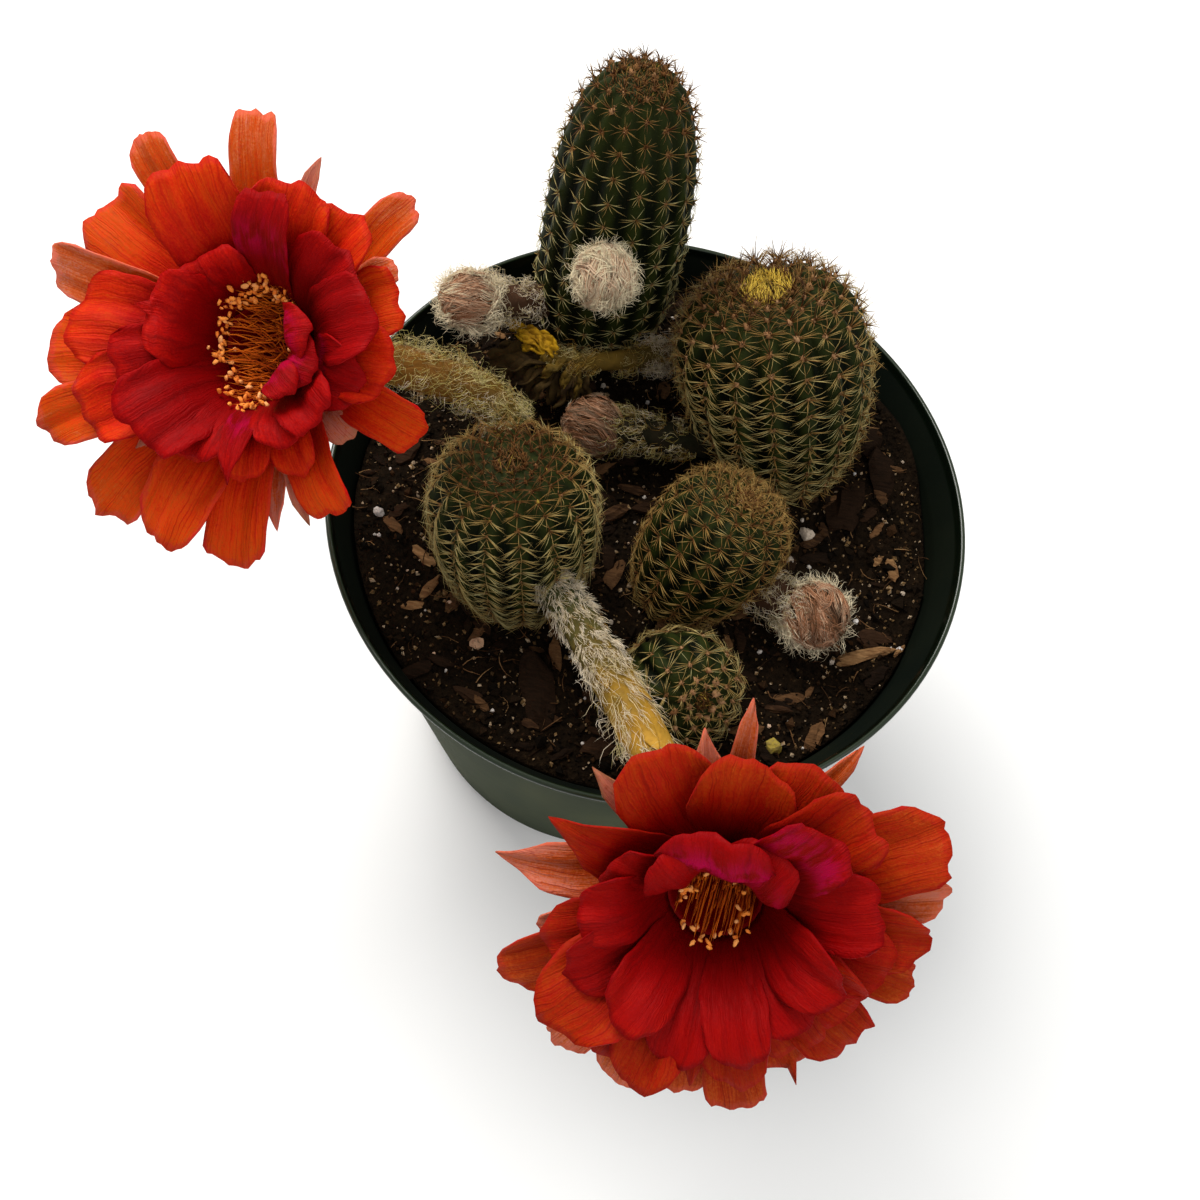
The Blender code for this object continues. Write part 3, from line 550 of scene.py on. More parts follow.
@dataclass(frozen=True)
class Potting:
    """Dark peat and bark mix, and the grains of perlite in it."""

    dark: Colour = (0.0032, 0.0020, 0.0010)
    brown: Colour = (0.0125, 0.0070, 0.0032)
    rust: Colour = (0.036, 0.016, 0.006)
    pale: Colour = (0.052, 0.030, 0.013)
    sand: Colour = (0.19, 0.110, 0.042)
    stone: Colour = (0.42, 0.31, 0.20)
    wood: Stops = (
        (0.0, (0.007, 0.0036, 0.0017)), (0.45, (0.028, 0.013, 0.006)),
        (0.8, (0.145, 0.070, 0.028)), (1.0, (0.32, 0.18, 0.075)),
    )
    mineral: Stops = (
        (0.0, (0.56, 0.53, 0.50)), (0.55, (0.50, 0.40, 0.30)),
        (0.8, (0.58, 0.34, 0.20)), (1.0, (0.30, 0.22, 0.035)),
    )

    def soil(self) -> Material:
        """The ground between the crumbs."""
        graph = Graph("soil")
        fine, coarse = graph.noise(800.0, 6.0), graph.noise(120.0, 4.0)
        shade = fine * 0.6 + coarse * 0.4
        colour = graph.ramp(shade, (0.35, self.dark), (0.62, self.brown), (0.80, self.pale))
        bump = graph.bump(fine, 0.0015, 1.0)
        return graph.finish(Base_Color=colour, Roughness=0.95, Normal=bump, Specular_IOR_Level=0.05)

    def crumbs(self) -> Material:
        """Crumbs of peat, bark and grit, each with its own shade."""
        graph = Graph("soil_crumbs")
        fleck = graph.noise(1500.0, 4.0)
        shade = graph.layer("tone") + (fleck - 0.5) * 0.3
        places = (0.0, 0.50, 0.68, 0.82, 0.93, 1.0)
        shades = (self.dark, self.brown, self.rust, self.pale, self.sand, self.stone)
        colour, bump = graph.ramp(shade, *zip(places, shades)), graph.bump(fleck, 0.0005, 0.9)
        return graph.finish(Base_Color=colour, Roughness=0.9, Normal=bump, Specular_IOR_Level=0.06)

    def bark(self) -> Material:
        """Bark, wood splinters and dry fibres."""
        graph = Graph("bark")
        fibre = graph.noise(330.0, 5.0, graph.place((1.0, 5.0, 3.0)))
        colour = graph.ramp(graph.layer("tone") + (fibre - 0.5) * 0.5, *self.wood)
        bump = graph.bump(fibre, 0.0006, 0.9)
        return graph.finish(Base_Color=colour, Roughness=0.85, Normal=bump, Specular_IOR_Level=0.06)

    def perlite(self) -> Material:
        """White, pinkish and yellow mineral grains."""
        graph = Graph("perlite")
        pits = graph.noise(1400.0, 3.0)
        base = graph.ramp(graph.layer("tone"), *self.mineral)
        colour = graph.mix(pits.above(0.45, 0.7) * 0.45, base, (0.13, 0.09, 0.06))
        bump = graph.bump(pits, 0.0004, 0.8)
        return graph.finish(Base_Color=colour, Roughness=0.9, Normal=bump, Specular_IOR_Level=0.2)


@dataclass(frozen=True)
class Skin:
    """Waxy cactus skin: dark green, painted shade in its grooves, duller and greyer at the foot, with pale
    flecks.
    """

    crest: Colour = (0.0160, 0.0220, 0.0032)
    # Painted shade: the grooves between the ribs, far darker than the crests
    groove: Colour = (0.0018, 0.0032, 0.0009)
    crown: Colour = (0.0160, 0.0210, 0.0030)
    foot: Colour = (0.018, 0.015, 0.0050)
    fleck: Colour = (0.050, 0.056, 0.014)

    def material(self) -> Material:
        """The skin's material, which reads "rise" and "crest"."""
        graph = Graph("stem_skin")
        rise, crest = graph.layer("rise"), graph.layer("crest")
        mottle, fleck = graph.noise(260.0, 4.0), graph.noise(2600.0, 2.0)
        # Painted shade in the grooves; towards the crown the crown colour, close to the crests', covers it
        colour = graph.mix(crest.above(0.12, 0.90) * 0.85 + (mottle - 0.5) * 0.6, self.groove, self.crest)
        colour = graph.mix(rise.above(0.70, 1.0) * 0.7, colour, self.crown)
        colour = graph.mix((1 - rise.above(0.0, 0.25)) * (0.25 + mottle * 0.4), colour, self.foot)
        colour = graph.mix(fleck.above(0.62, 0.72) * 0.25, colour, self.fleck)
        return graph.finish(
            Base_Color=colour,
            Roughness=0.50 + mottle * 0.25,
            Normal=graph.bump(fleck * 0.4 + mottle * 0.6, 0.0003, 0.6),
            Specular_IOR_Level=0.06,
        )


@dataclass(frozen=True)
class Fibre:
    """Spines, wool or filaments: a ramp over each strand's tone, and other colours at its root and tip."""

    name: str
    stops: Stops
    root: Colour
    root_share: float
    tip: Colour
    tip_share: float
    roughness: float

    def material(self) -> Material:
        """The strands' material, which reads "tone" and "reach"."""
        graph = Graph(self.name)
        colour = graph.ramp(graph.layer("tone"), *self.stops)
        reach = graph.layer("reach")
        colour = graph.mix((1 - reach.above(0.0, 0.4)) * self.root_share, colour, self.root)
        colour = graph.mix(reach.above(0.45, 1.0) * self.tip_share, colour, self.tip)
        rough = self.roughness + reach * 0.05
        return graph.finish(Base_Color=colour, Roughness=rough, Specular_IOR_Level=0.08)


SPINES = Fibre(
    "spines",
    (
        (0.0, (0.48, 0.44, 0.20)), (0.25, (0.42, 0.30, 0.100)), (0.5, (0.29, 0.160, 0.042)),
        (0.75, (0.120, 0.044, 0.013)), (1.0, (0.034, 0.011, 0.004)),
    ),
    (0.11, 0.036, 0.011), 0.75, (0.40, 0.28, 0.095), 0.20, 0.5,
)
AREOLES = Fibre(
    "areoles",
    (
        (0.0, (0.46, 0.32, 0.16)), (0.3, (0.34, 0.18, 0.085)), (0.55, (0.150, 0.062, 0.018)),
        (0.75, (0.055, 0.021, 0.006)), (1.0, (0.80, 0.560, 0.080)),
    ),
    (0.09, 0.034, 0.010), 0.3, (0.30, 0.18, 0.06), 0.2, 0.9,
)
WOOL = Fibre(
    "bud_wool",
    (
        (0.0, (0.80, 0.71, 0.48)), (0.25, (0.66, 0.51, 0.35)), (0.5, (0.50, 0.265, 0.150)),
        (0.75, (0.29, 0.122, 0.056)), (1.0, (0.075, 0.036, 0.015)),
    # One petal: its clock angle, reach, width, tone and end, and how much painted magenta sheen it has.
    ),
    (0.16, 0.075, 0.040), 0.4, (0.78, 0.66, 0.46), 0.2, 0.8,
)
TUBE_HAIR = Fibre(
    "tube_hair",
    (
        (0.0, (0.84, 0.74, 0.60)), (0.25, (0.70, 0.56, 0.30)), (0.5, (0.48, 0.42, 0.12)),
        (0.75, (0.30, 0.150, 0.018)), (1.0, (0.045, 0.055, 0.015)),
    ),
    (0.26, 0.16, 0.035), 0.45, (0.80, 0.70, 0.50), 0.2, 0.75,
)
FILAMENTS = Fibre(
    "filaments",
    ((0.0, (0.70, 0.140, 0.006)), (0.6, (0.48, 0.066, 0.004)), (1.0, (0.22, 0.009, 0.001))),
    (0.16, 0.006, 0.001), 0.6, (0.78, 0.190, 0.009), 0.35, 0.6,
)


@dataclass(frozen=True)
class Flesh:
    """The fleshy core of a bud, a flower tube or a withered bloom, in two colours that clouds mix."""

    name: str
    first: Colour
    second: Colour
    roughness: float

    def material(self) -> Material:
        """The core's material, made when it is first asked for."""
        if self.name in bpy.data.materials:
            return bpy.data.materials[self.name]
        graph = Graph(self.name)
        cloud, fine = graph.noise(170.0, 5.0), graph.noise(900.0, 4.0)
        colour = graph.mix(cloud.above(0.3, 0.7), self.first, self.second)
        colour = graph.mix(fine.above(0.5, 0.8) * 0.35, colour, tuple(0.4 * c for c in self.first))
        bump = graph.bump(fine, 0.0005, 0.8)
        return graph.finish(Base_Color=colour, Roughness=self.roughness, Normal=bump, Specular_IOR_Level=0.08)


@dataclass(frozen=True)
class TubeSkin:
    """The skin and scales of a flower tube: green by the stem, then yellow, and pink at the bloom."""

    name: str
    stops: Stops
    fleck: Colour

    def material(self) -> Material:
        """The tube's material, which reads "tone", from 0 at the stem to 1 at the bloom."""
        graph = Graph(self.name)
        cloud, fine = graph.noise(210.0, 5.0), graph.noise(1100.0, 4.0)
        colour = graph.ramp(graph.layer("tone") + (cloud - 0.5) * 0.3, *self.stops)
        colour = graph.mix(fine.above(0.50, 0.78) * 0.45, colour, self.fleck)
        bump = graph.bump(fine, 0.0004, 0.7)
        rough = 0.5 + cloud * 0.2
        return graph.finish(Base_Color=colour, Roughness=rough, Normal=bump, Specular_IOR_Level=0.10)


GOLDEN_SKIN = TubeSkin(
    "tube_skin_golden",
    (
        (0.0, (0.036, 0.045, 0.010)), (0.3, (0.098, 0.055, 0.009)),
        (0.6, (0.150, 0.062, 0.007)), (1.0, (0.200, 0.088, 0.010)),
    ),
    (0.060, 0.025, 0.005),
)
YELLOW_SKIN = TubeSkin(
    "tube_skin_yellow",
    (
        (0.0, (0.018, 0.038, 0.011)), (0.25, (0.042, 0.046, 0.013)), (0.44, (0.115, 0.080, 0.015)),
        (0.60, (0.330, 0.180, 0.018)), (0.80, (0.560, 0.300, 0.040)), (0.92, (0.640, 0.310, 0.090)),
        (1.0, (0.66, 0.300, 0.150)),
    ),
    (0.200, 0.095, 0.012),
)


@dataclass(frozen=True)
class Petal:
    """Satin petals. Their tone runs from the crimson of the throat to the salmon of the outermost sepals."""

    name: str
    stops: Stops
    vein: Colour
    rims: Stops
    # Painted shade: the dark colour laid in streaks along the folds of the darker petals
    shade: Colour = (0.085, 0.0, 0.0003)
    # Painted highlight: the magenta sheen that petals show where they bend
    sheen: Colour = (0.42, 0.000, 0.048)
    olive: Colour = (0.20, 0.120, 0.050)

    def material(self) -> Material:
        """The petals' material, which reads "tone", the painted sheen's layer and each petal's own UV map."""
        graph = Graph(self.name)
        across, along = graph.uv()
        tone, sheen = graph.layer("tone"), graph.layer("sheen")
        seed = tone * 900.0
        warp = graph.noise(1.0, 3.0, graph.vector(across * 5.0, along * 6.0, seed + 3.0)) - 0.5
        fan = (across - 0.5) * (1.25 - along * 0.35) + warp * 0.10
        veins = graph.noise(1.0, 4.0, graph.vector(fan * 26.0, along * 3.4, seed))
        cloud = graph.noise(1.0, 5.0, graph.vector(across * 4.0, along * 5.0, seed + 7.0))
        fine = graph.noise(2400.0, 3.0)
        # Painted shade: petals darken towards their roots in the throat, all but the palest outer ones
        throat_shade = (1 - along.above(0.10, 0.85)) * (1 - tone.above(0.60, 0.85)) * 0.20
        shade = tone + (along - 0.62) * 0.30 - throat_shade
        shade = shade + (veins - 0.5) * 0.28 + (cloud - 0.5) * 0.34 + (fine - 0.5) * 0.30
        colour = graph.ramp(shade, *self.stops)
        # Painted shade in the folds of the darker petals
        fold_shade = graph.noise(1.0, 2.0, graph.vector(fan * 9.0, along * 1.1, seed + 5.0))
        colour = graph.mix(fold_shade.above(0.50, 0.72) * (1 - tone.above(0.3, 0.7)) * 0.40, colour, self.shade)
        threads = graph.noise(1.0, 3.0, graph.vector(fan * 62.0, along * 2.2, seed))
        colour = graph.mix(threads.above(0.52, 0.66) * 0.60 * tone.above(0.15, 0.5), colour, self.vein)
        speck = graph.noise(900.0, 4.0)
        colour = graph.mix(speck.above(0.56, 0.70) * 0.30 * tone.above(0.35, 0.6), colour, self.vein)
        ragged = (cloud - 0.5) * 0.16 + (speck - 0.5) * 0.10
        edge = (abs(across - 0.5) + ragged).above(0.42, 0.49) + (along + ragged * 0.7).above(0.955, 0.99)
        colour = graph.mix(edge * 0.55, colour, graph.ramp(tone, *self.rims))
        colour = graph.mix(along.above(0.90, 1.0) * tone.above(0.92, 0.99) * 0.7, colour, self.olive)
        # Painted highlight: magenta sheen laid on where the petal's sheen layer is high
        colour = graph.mix(sheen * (cloud + veins * 0.5 - 0.25).above(0.38, 0.60), colour, self.sheen)
        return graph.finish(
            Base_Color=colour,
            Roughness=0.52 + cloud * 0.12,
            Normal=graph.bump(threads * 0.45 + veins * 0.30 + fine * 0.10 + speck * 0.15, 0.0008, 0.8),
            Specular_IOR_Level=0.06,
            Subsurface_Weight=0.10,
            Subsurface_Scale=0.0015,
            Subsurface_Radius=(1.0, 0.05, 0.01),
        )


# Painted light: the left flower's petals, painted brighter as if lit through
LIT_PETAL = Petal(
    "petal_lit",
    (
        (0.0, (0.200, 0.0000, 0.0005)), (0.2, (0.270, 0.0003, 0.0005)), (0.38, (0.420, 0.0035, 0.0005)),
        (0.54, (0.540, 0.0200, 0.0006)), (0.68, (0.560, 0.0450, 0.0010)), (0.80, (0.450, 0.0560, 0.0020)),
        (0.92, (0.500, 0.1050, 0.0300)), (1.0, (0.480, 0.1500, 0.0950)),
    ),
    (0.340, 0.0030, 0.0006),
    ((0.3, (0.26, 0.0, 0.001)), (0.6, (0.50, 0.006, 0.003)), (0.8, (0.74, 0.15, 0.090))),
)
# Painted shade: the same petals painted darker for the front flower, which stands in shade
SHADED_PETAL = Petal(
    "petal_shaded",
    (
        (0.0, (0.185, 0.0000, 0.0003)), (0.2, (0.240, 0.0001, 0.0003)), (0.38, (0.290, 0.0016, 0.0003)),
        (0.54, (0.320, 0.0110, 0.0004)), (0.70, (0.345, 0.0280, 0.0008)), (0.84, (0.460, 0.0700, 0.0080)),
        (0.93, (0.520, 0.1150, 0.0420)), (1.0, (0.520, 0.1500, 0.0900)),
    ),
    (0.170, 0.0010, 0.0003),
    ((0.3, (0.20, 0.0, 0.001)), (0.6, (0.38, 0.010, 0.004)), (0.8, (0.64, 0.12, 0.060))),
)


@dataclass(frozen=True)
class Anther:
    """Peach-orange anthers with paler pollen."""

    stops: Stops = ((0.0, (0.76, 0.170, 0.015)), (0.6, (0.90, 0.30, 0.042)), (1.0, (0.92, 0.42, 0.15)))
    pollen: Colour = (0.90, 0.50, 0.22)

    def material(self) -> Material:
        """The anthers' material, which reads "tone"."""
        graph = Graph("anther")
        grain = graph.noise(2600.0, 2.0)
        colour = graph.ramp(graph.layer("tone"), *self.stops)
        colour = graph.mix(grain.above(0.55, 0.75) * 0.35, colour, self.pollen)
        bump = graph.bump(grain, 0.0003, 0.7)
        return graph.finish(Base_Color=colour, Roughness=0.7, Normal=bump, Specular_IOR_Level=0.2)


def settle(piece: Piece, material: Material, node: str) -> None:
    """Dresses a finished piece, lets it ride on the plant's one body and hides the solid that it stands for.

    Args:
        piece: The finished piece.
        material: Its finish.
        node: The solid that it stands for.
    """
    piece.data.materials.clear()
    piece.data.materials.append(material)
    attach(piece, BODY)
    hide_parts(node)
    log.info("%s: %d faces", piece.name, len(piece.data.polygons))


@dataclass(frozen=True)
class Pot:
    """The nursery pot: a thin tapered wall, a stepped rim band with a bead, and a floor with drain holes."""

    height: float = 115.0
    rim_radius: float = 76.0
    foot_radius: float = 59.0
    wall: float = 1.1
    floor: float = 1.3
    band_foot: float = 106.0
    band_radius: float = 72.3
    drains: int = 6
    drain_radius: float = 4.5
    drain_circle: float = 44.0
    sides: int = 144

    def inner_radius(self, z: float) -> float:
        """The radius of the bore at a height."""
        return self.foot_radius + (self.band_radius - self.foot_radius) * z / self.band_foot - self.wall

    def profile(self) -> list[Pair]:
        """The outline of the pot's section, from its foot's middle round the lip to its floor's middle."""
        foot, band, step = self.foot_radius, self.band_radius, self.band_foot
        rim, top = self.rim_radius, self.height
        outside = [(0.0, 0.4), (foot - 6.0, 0.4), (foot - 4.0, 0.0), (foot - 1.2, 0.0), (foot - 0.35, 0.25)]
        outside += [(foot - 0.05, 0.55), (foot + 0.08, 0.9), (foot + 0.13, 1.3), (foot + 0.2, 1.9)]
        outside += [(foot + (band - foot) * share / 8, step * share / 8) for share in range(1, 8)]
        outside += [(band - 0.1, step - 1.0), (band, step - 0.5), (band + 0.35, step)]
        outside += [(rim - 1.9, step + 1.3), (rim - 1.45, step + 1.8), (rim - 1.3, step + 2.5)]
        outside += [(rim - 0.75, top - 2.7), (rim - 0.8, top - 2.4), (rim - 1.0, top - 2.2)]
        outside += [(rim - 1.0, top - 1.9), (rim - 0.65, top - 1.6)]
        bead = [math.pi * (share / 8 * 1.2 - 0.25) for share in range(9)]
        bead = [(rim - 0.7 + 0.7 * math.cos(angle), top - 0.7 + 0.7 * math.sin(angle)) for angle in bead]
        inside = [(rim - 1.55, top - 1.3), (rim - 1.9, top - 2.4), (band - self.wall + 0.3, step + 0.8)]
        inside += [(self.inner_radius(step), step - 0.8), (self.inner_radius(self.floor), self.floor)]
        return [*outside, *bead, *inside, (0.0, self.floor)]

    def build(self) -> None:
        """Turns the wall, cuts the drain holes and dresses the pot."""
        pot = turned("pot_shell", self.profile(), self.sides)
        radius, reach = self.drain_radius * MM, self.drain_circle * MM
        for hole in range(self.drains):
            angle = TURN * hole / self.drains
            place = (reach * math.cos(angle), reach * math.sin(angle), 0.0)
            bpy.ops.object.select_all(action="DESELECT")
            bpy.ops.mesh.primitive_cylinder_add(vertices=32, radius=radius, depth=8 * MM, location=place)
            cutter = bpy.context.object
            apply_modifier(pot, "BOOLEAN", object=cutter, operation="DIFFERENCE", solver="EXACT")
            bpy.data.objects.remove(cutter, do_unlink=True)
        select_only(pot)
        bpy.ops.object.shade_smooth_by_angle(angle=math.radians(40))
        points, normals = points_of(pot), np.array([v.normal for v in pot.data.vertices])
        inward = -(normals[:, :2] * unit(points[:, :2])).sum(axis=1)
        add_layer(pot, "height", points[:, 2] / self.height)
        # Marks the inner faces, which the material paints dark as shade and keeps free of dust
        add_layer(pot, "inner", (inward > 0.5) | ((normals[:, 2] > 0.5) & (points[:, 2] < 5.0)))
        settle(pot, Plastic().material(), "pot")


@dataclass(frozen=True)
class Armour:
    """How a stem's areoles are armed.

    The tones are those of the foot, the middle and the crown, from 0, pale straw, to 1, dark brown. Radial
    spines form stars where sideways is 0 and combs where it is 1, and spread parts a comb's two halves.
    Bare is how far from the tip the areoles stop, and the tuft of wool stands there.
    """

    radials: int
    radial_length: float
    centrals: int
    central_length: float
    sideways: float
    tones: tuple[float, float, float]
    wool_tone: float
    wool_size: float
    tuft: int
    tuft_spread: float
    tuft_tone: float
    bare: float
    spread: float
    tuft_length: float = 1.4
    droop: float = 0.0
    crown_length: float = 0.45


@dataclass(frozen=True)
class Areoles:
    """A stem's areoles: their places, the ways up, sideways and out, their youth and their spines' size."""

    here: Array
    up: Array
    side: Array
    out: Array
    young: Array
    short: Array


@dataclass(frozen=True)
class Stem:
    """A ribbed stem. Its radius is measured to the rib crests, at the share of its height that is widest."""

    name: str
    foot: Pair
    tip: Point
    radius: float
    widest: float
    foot_radius: float
    squareness: float
    ribs: int
    groove: float
    spacing: float
    armour: Armour
    seed: int

    def axis(self, t: Array) -> tuple[Array, Array, Array, Array]:
        """The stem's middle line.

        Args:
            t: Shares of the height.

        Returns:
            The centre, two ways across and the way along, at each share.
        """
        foot = np.array((*self.foot, Soil.level + 0.3))
        run = np.array(self.tip) - foot
        turn = (t * t * (3 - 2 * t))[..., None]
        along = unit(UP + (run / np.linalg.norm(run) - UP) * turn)
        side = unit(np.array((1.0, 0.0, 0.0)) - along * along[..., :1])
        return foot + run * t[..., None], side, np.cross(along, side), along

    def radius_at(self, t: Array) -> Array:
        """The radius to the crests: a narrow foot, a long flank and a rounded crown."""
        below = np.clip((self.widest - t) / self.widest, 0, 1)
        above = np.clip((t - self.widest) / (1 - self.widest), 0, 1)
        crown = (1 - above**self.squareness) ** (1 / self.squareness)
        flank = self.radius + (self.foot_radius - self.radius) * below**2
        return np.where(t < self.widest, flank, self.radius * crown)

    def point(self, t: Array, angle: Array, ratio: Array | float = 1.0) -> Array:
        """Points at angles round the stem, at a ratio of the radius there."""
        centre, side, across, _ = self.axis(t)
        return centre + (ratio * self.radius_at(t))[..., None] * around(angle, side, across)

    def heights(self) -> tuple[Array, Array]:
        """Shares of the height, closer together towards the tip, and the lengths along a crest up to each."""
        t = 1 - (1 - np.linspace(0, CREST_END, CREST_STEPS)) ** 3
        steps = np.linalg.norm(np.diff(self.point(t, np.zeros_like(t)), axis=0), axis=1)
        return t, np.concatenate(((0.0,), np.cumsum(steps)))

    def areole_places(self) -> tuple[Array, Array, Array]:
        """The height share, the angle and the way left to the tip of each areole, closer in the crown."""
        t, lengths = self.heights()
        places = []
        for rib in range(self.ribs):
            at = self.spacing * FIRST_AREOLES[rib % 2]
            while at < lengths[-1] - self.armour.bare * (1.5 if rib % 2 else 1.0):
                left = lengths[-1] - at
                places.append((np.interp(at, lengths, t), TURN * rib / self.ribs, left))
                at += self.spacing * (0.5 + 0.5 * min(left / (0.3 * lengths[-1]), 1.0))
        t, angle, left = np.array(places).T
        return t, angle, left

    def clear_of_growth(self, here: Array) -> Array:
        """Whether areoles are clear of what grows from the stem."""
        apart = [np.linalg.norm(here - np.array(root), axis=1) - reach for root, reach in GROWTHS]
        return np.min(apart, axis=0) > 0

    def surface(self, t: Array, angle: Array) -> tuple[Array, Array, Array, Array]:
        """Places on the skin.

        Args:
            t: Their shares of the height.
            angle: Their angles round the stem.

        Returns:
            The places on the crests, and the ways up the stem, sideways and out of the skin there.
        """
        here = self.point(t, angle)
        up = unit(self.point(np.minimum(t + 0.004, 1.0), angle) - self.point(t - 0.004, angle))
        centre, _, _, along = self.axis(t)
        side = unit(np.cross(along, here - centre))
        out = unit(np.cross(up, side))
        return here, up, side, out * np.sign((out * (here - centre + 0.3 * along)).sum(1))[:, None]

    def areoles(self) -> Areoles:
        """The areoles that are clear of what grows from the stem."""
        t, angle, left = self.areole_places()
        keep = self.clear_of_growth(self.point(t, angle))
        left = left[keep]
        young = 1 - smooth(left, 4.0, 0.55 * left.max())
        least = self.armour.crown_length
        short = least + (1 - least) * np.clip((left - 2.0) / 7.0, 0, 1)
        return Areoles(*self.surface(t[keep], angle[keep]), young, short)

    def body(self) -> Piece:
        """The ribbed body, rounded on its crests, creased in its grooves and swollen at each areole."""
        t_all, lengths = self.heights()

        def place(u: Array, v: Array) -> Array:
            rise = np.clip((v - 0.04) / 0.96, 0, 1)
            t = 1 - (1 - rise) ** 2.2
            phase = u * self.ribs
            crest = np.abs(np.cos(math.pi * phase)) ** 0.85
            depth = 0.05 + (self.groove - 0.05) * np.sin(0.5 * math.pi * np.clip(1.2 * t + 0.1, 0, 1))
            first = np.take(FIRST_AREOLES, np.rint(phase).astype(int) % self.ribs % 2)
            at = np.interp(t, t_all, lengths) / self.spacing - first
            swell = (0.5 + 0.5 * np.cos(TURN * at)) ** 3 * crest**6 * 0.03 * (1 - smooth(t, 0.75, 0.9))
            points = self.point(t, TURN * u, 1 - depth * (1 - crest) + swell)
            points[:, 2] -= np.clip((0.04 - v) / 0.04, 0, 1) * STEM_SINK
            ends = (v < 1e-6) | (v > 1 - 1e-6)
            points[ends] = self.axis(t)[0][ends] - np.where(v[ends] < 0.5, STEM_SINK, 0.0)[:, None] * UP
            return points

        body = shaped_grid(self.name + "_body", self.ribs * 8, 64, place)
        points = points_of(body)
        foot = np.array((*self.foot, Soil.level))
        run = np.array(self.tip) - foot
        t = np.clip((points - foot) @ run / (run @ run), 0, 1)
        centre, side, across, _ = self.axis(t)
        out = points - centre
        angle = np.arctan2((out * across).sum(1), (out * side).sum(1))
        add_layer(body, "rise", t)
        # How near each point is to a crest; the skin paints the grooves dark as shade
        add_layer(body, "crest", np.abs(np.cos(0.5 * angle * self.ribs)) ** 2)
        return body

    def build(self, skin: Material, spines: Material, wool: Material) -> None:
        """Builds the body, its spines, the small woolly pad of each areole and the tuft in the crown.

        Args:
            skin: The finish of the body.
            spines: The finish of the spines.
            wool: The finish of the pads, their hairs and the tuft.
        """
        draw, armour = np.random.default_rng(self.seed), self.armour
        settle(self.body(), skin, self.name)
        areoles, counts = self.areoles(), (armour.radials, armour.centrals)
        paths = np.concatenate((self.radials(draw, areoles), self.centrals(draw, areoles)))
        tones = np.interp(areoles.young, (0.0, 0.6, 1.0), armour.tones)
        tones = np.concatenate([np.repeat(tones + more, count) for more, count in zip((0.0, 0.30), counts)])
        tones = np.clip(tones + draw.normal(0, 0.10, len(tones)), 0, 1)
        widths = np.repeat(SPINE_RADII, len(areoles.here) * np.array(counts))
        settle(strands(self.name + "_spines", paths, widths, tones), spines, self.name)
        self.add_wool(draw, wool, areoles)

    def radials(self, draw: Random, areoles: Areoles) -> Array:
        """The radial spines, which lie low over the skin as stars or combs and stand up in the crown.

        Args:
            draw: The source of random numbers.
            areoles: What they grow from.

        Returns:
            Their paths, as spines x 3 x 3.
        """
        armour, young = self.armour, areoles.young[:, None]
        up, side = areoles.up[:, None], areoles.side[:, None]
        shape = (len(areoles.here), armour.radials)
        turns = TURN * (np.arange(shape[1]) + 0.5 + draw.uniform(-0.3, 0.3, shape)) / shape[1]
        for _ in range(2):
            turns += 0.5 * armour.sideways * np.sin(2 * turns)
        climb = np.cos(turns) - armour.droop * np.abs(np.sin(turns))
        fan = unit(climb[..., None] * up + np.sin(turns)[..., None] * side)
        way = around(np.radians(draw.uniform(6, 28, shape) + 28 * young), fan, areoles.out[:, None])
        length = armour.radial_length * draw.uniform(0.75, 1.2, shape) * (1 - 0.3 * np.abs(np.cos(turns)))
        apart = armour.spread * (1 - 0.75 * young) * np.cos(turns)
        root = areoles.here[:, None] + apart[..., None] * up
        return self.spine_paths(draw, root, areoles.out, way, length * areoles.short[:, None])

    def centrals(self, draw: Random, areoles: Areoles) -> Array:
        """The central spines, which stand out of the areole.

        Args:
            draw: The source of random numbers.
            areoles: What they grow from.

        Returns:
            Their paths, as spines x 3 x 3.
        """
        shape = (len(areoles.here), self.armour.centrals)
        lean = draw.normal(0, 0.45, (*shape, 2))
        side, up = lean[..., :1] * areoles.side[:, None], (lean[..., 1:] + 0.25) * areoles.up[:, None]
        way = unit(areoles.out[:, None] + side + up)
        length = self.armour.central_length * draw.uniform(0.6, 1.2, shape)
        length = length * (0.65 + 0.5 * areoles.young[:, None]) * areoles.short[:, None]
        return self.spine_paths(draw, areoles.here[:, None], areoles.out, way, length)

    @staticmethod
    def spine_paths(draw: Random, root: Array, out: Array, way: Array, length: Array) -> Array:
        """Slightly bent spines.

        Args:
            draw: The source of random numbers.
            root: Their roots.
            out: The way out of the skin at each areole.
            way: The way of each spine.
            length: Their lengths.

        Returns:
            Three points along each spine, from its root on.
        """
        bend = draw.normal(0, 0.10, way.shape) - 0.22 * out[:, None]
        reach = length[..., None, None] * THREE_STEPS
        paths = root[:, :, None] + 0.25 * out[:, None, None] + unit(way)[:, :, None] * reach
        return (paths + bend[:, :, None] * reach * THREE_STEPS).reshape(-1, 3, 3)

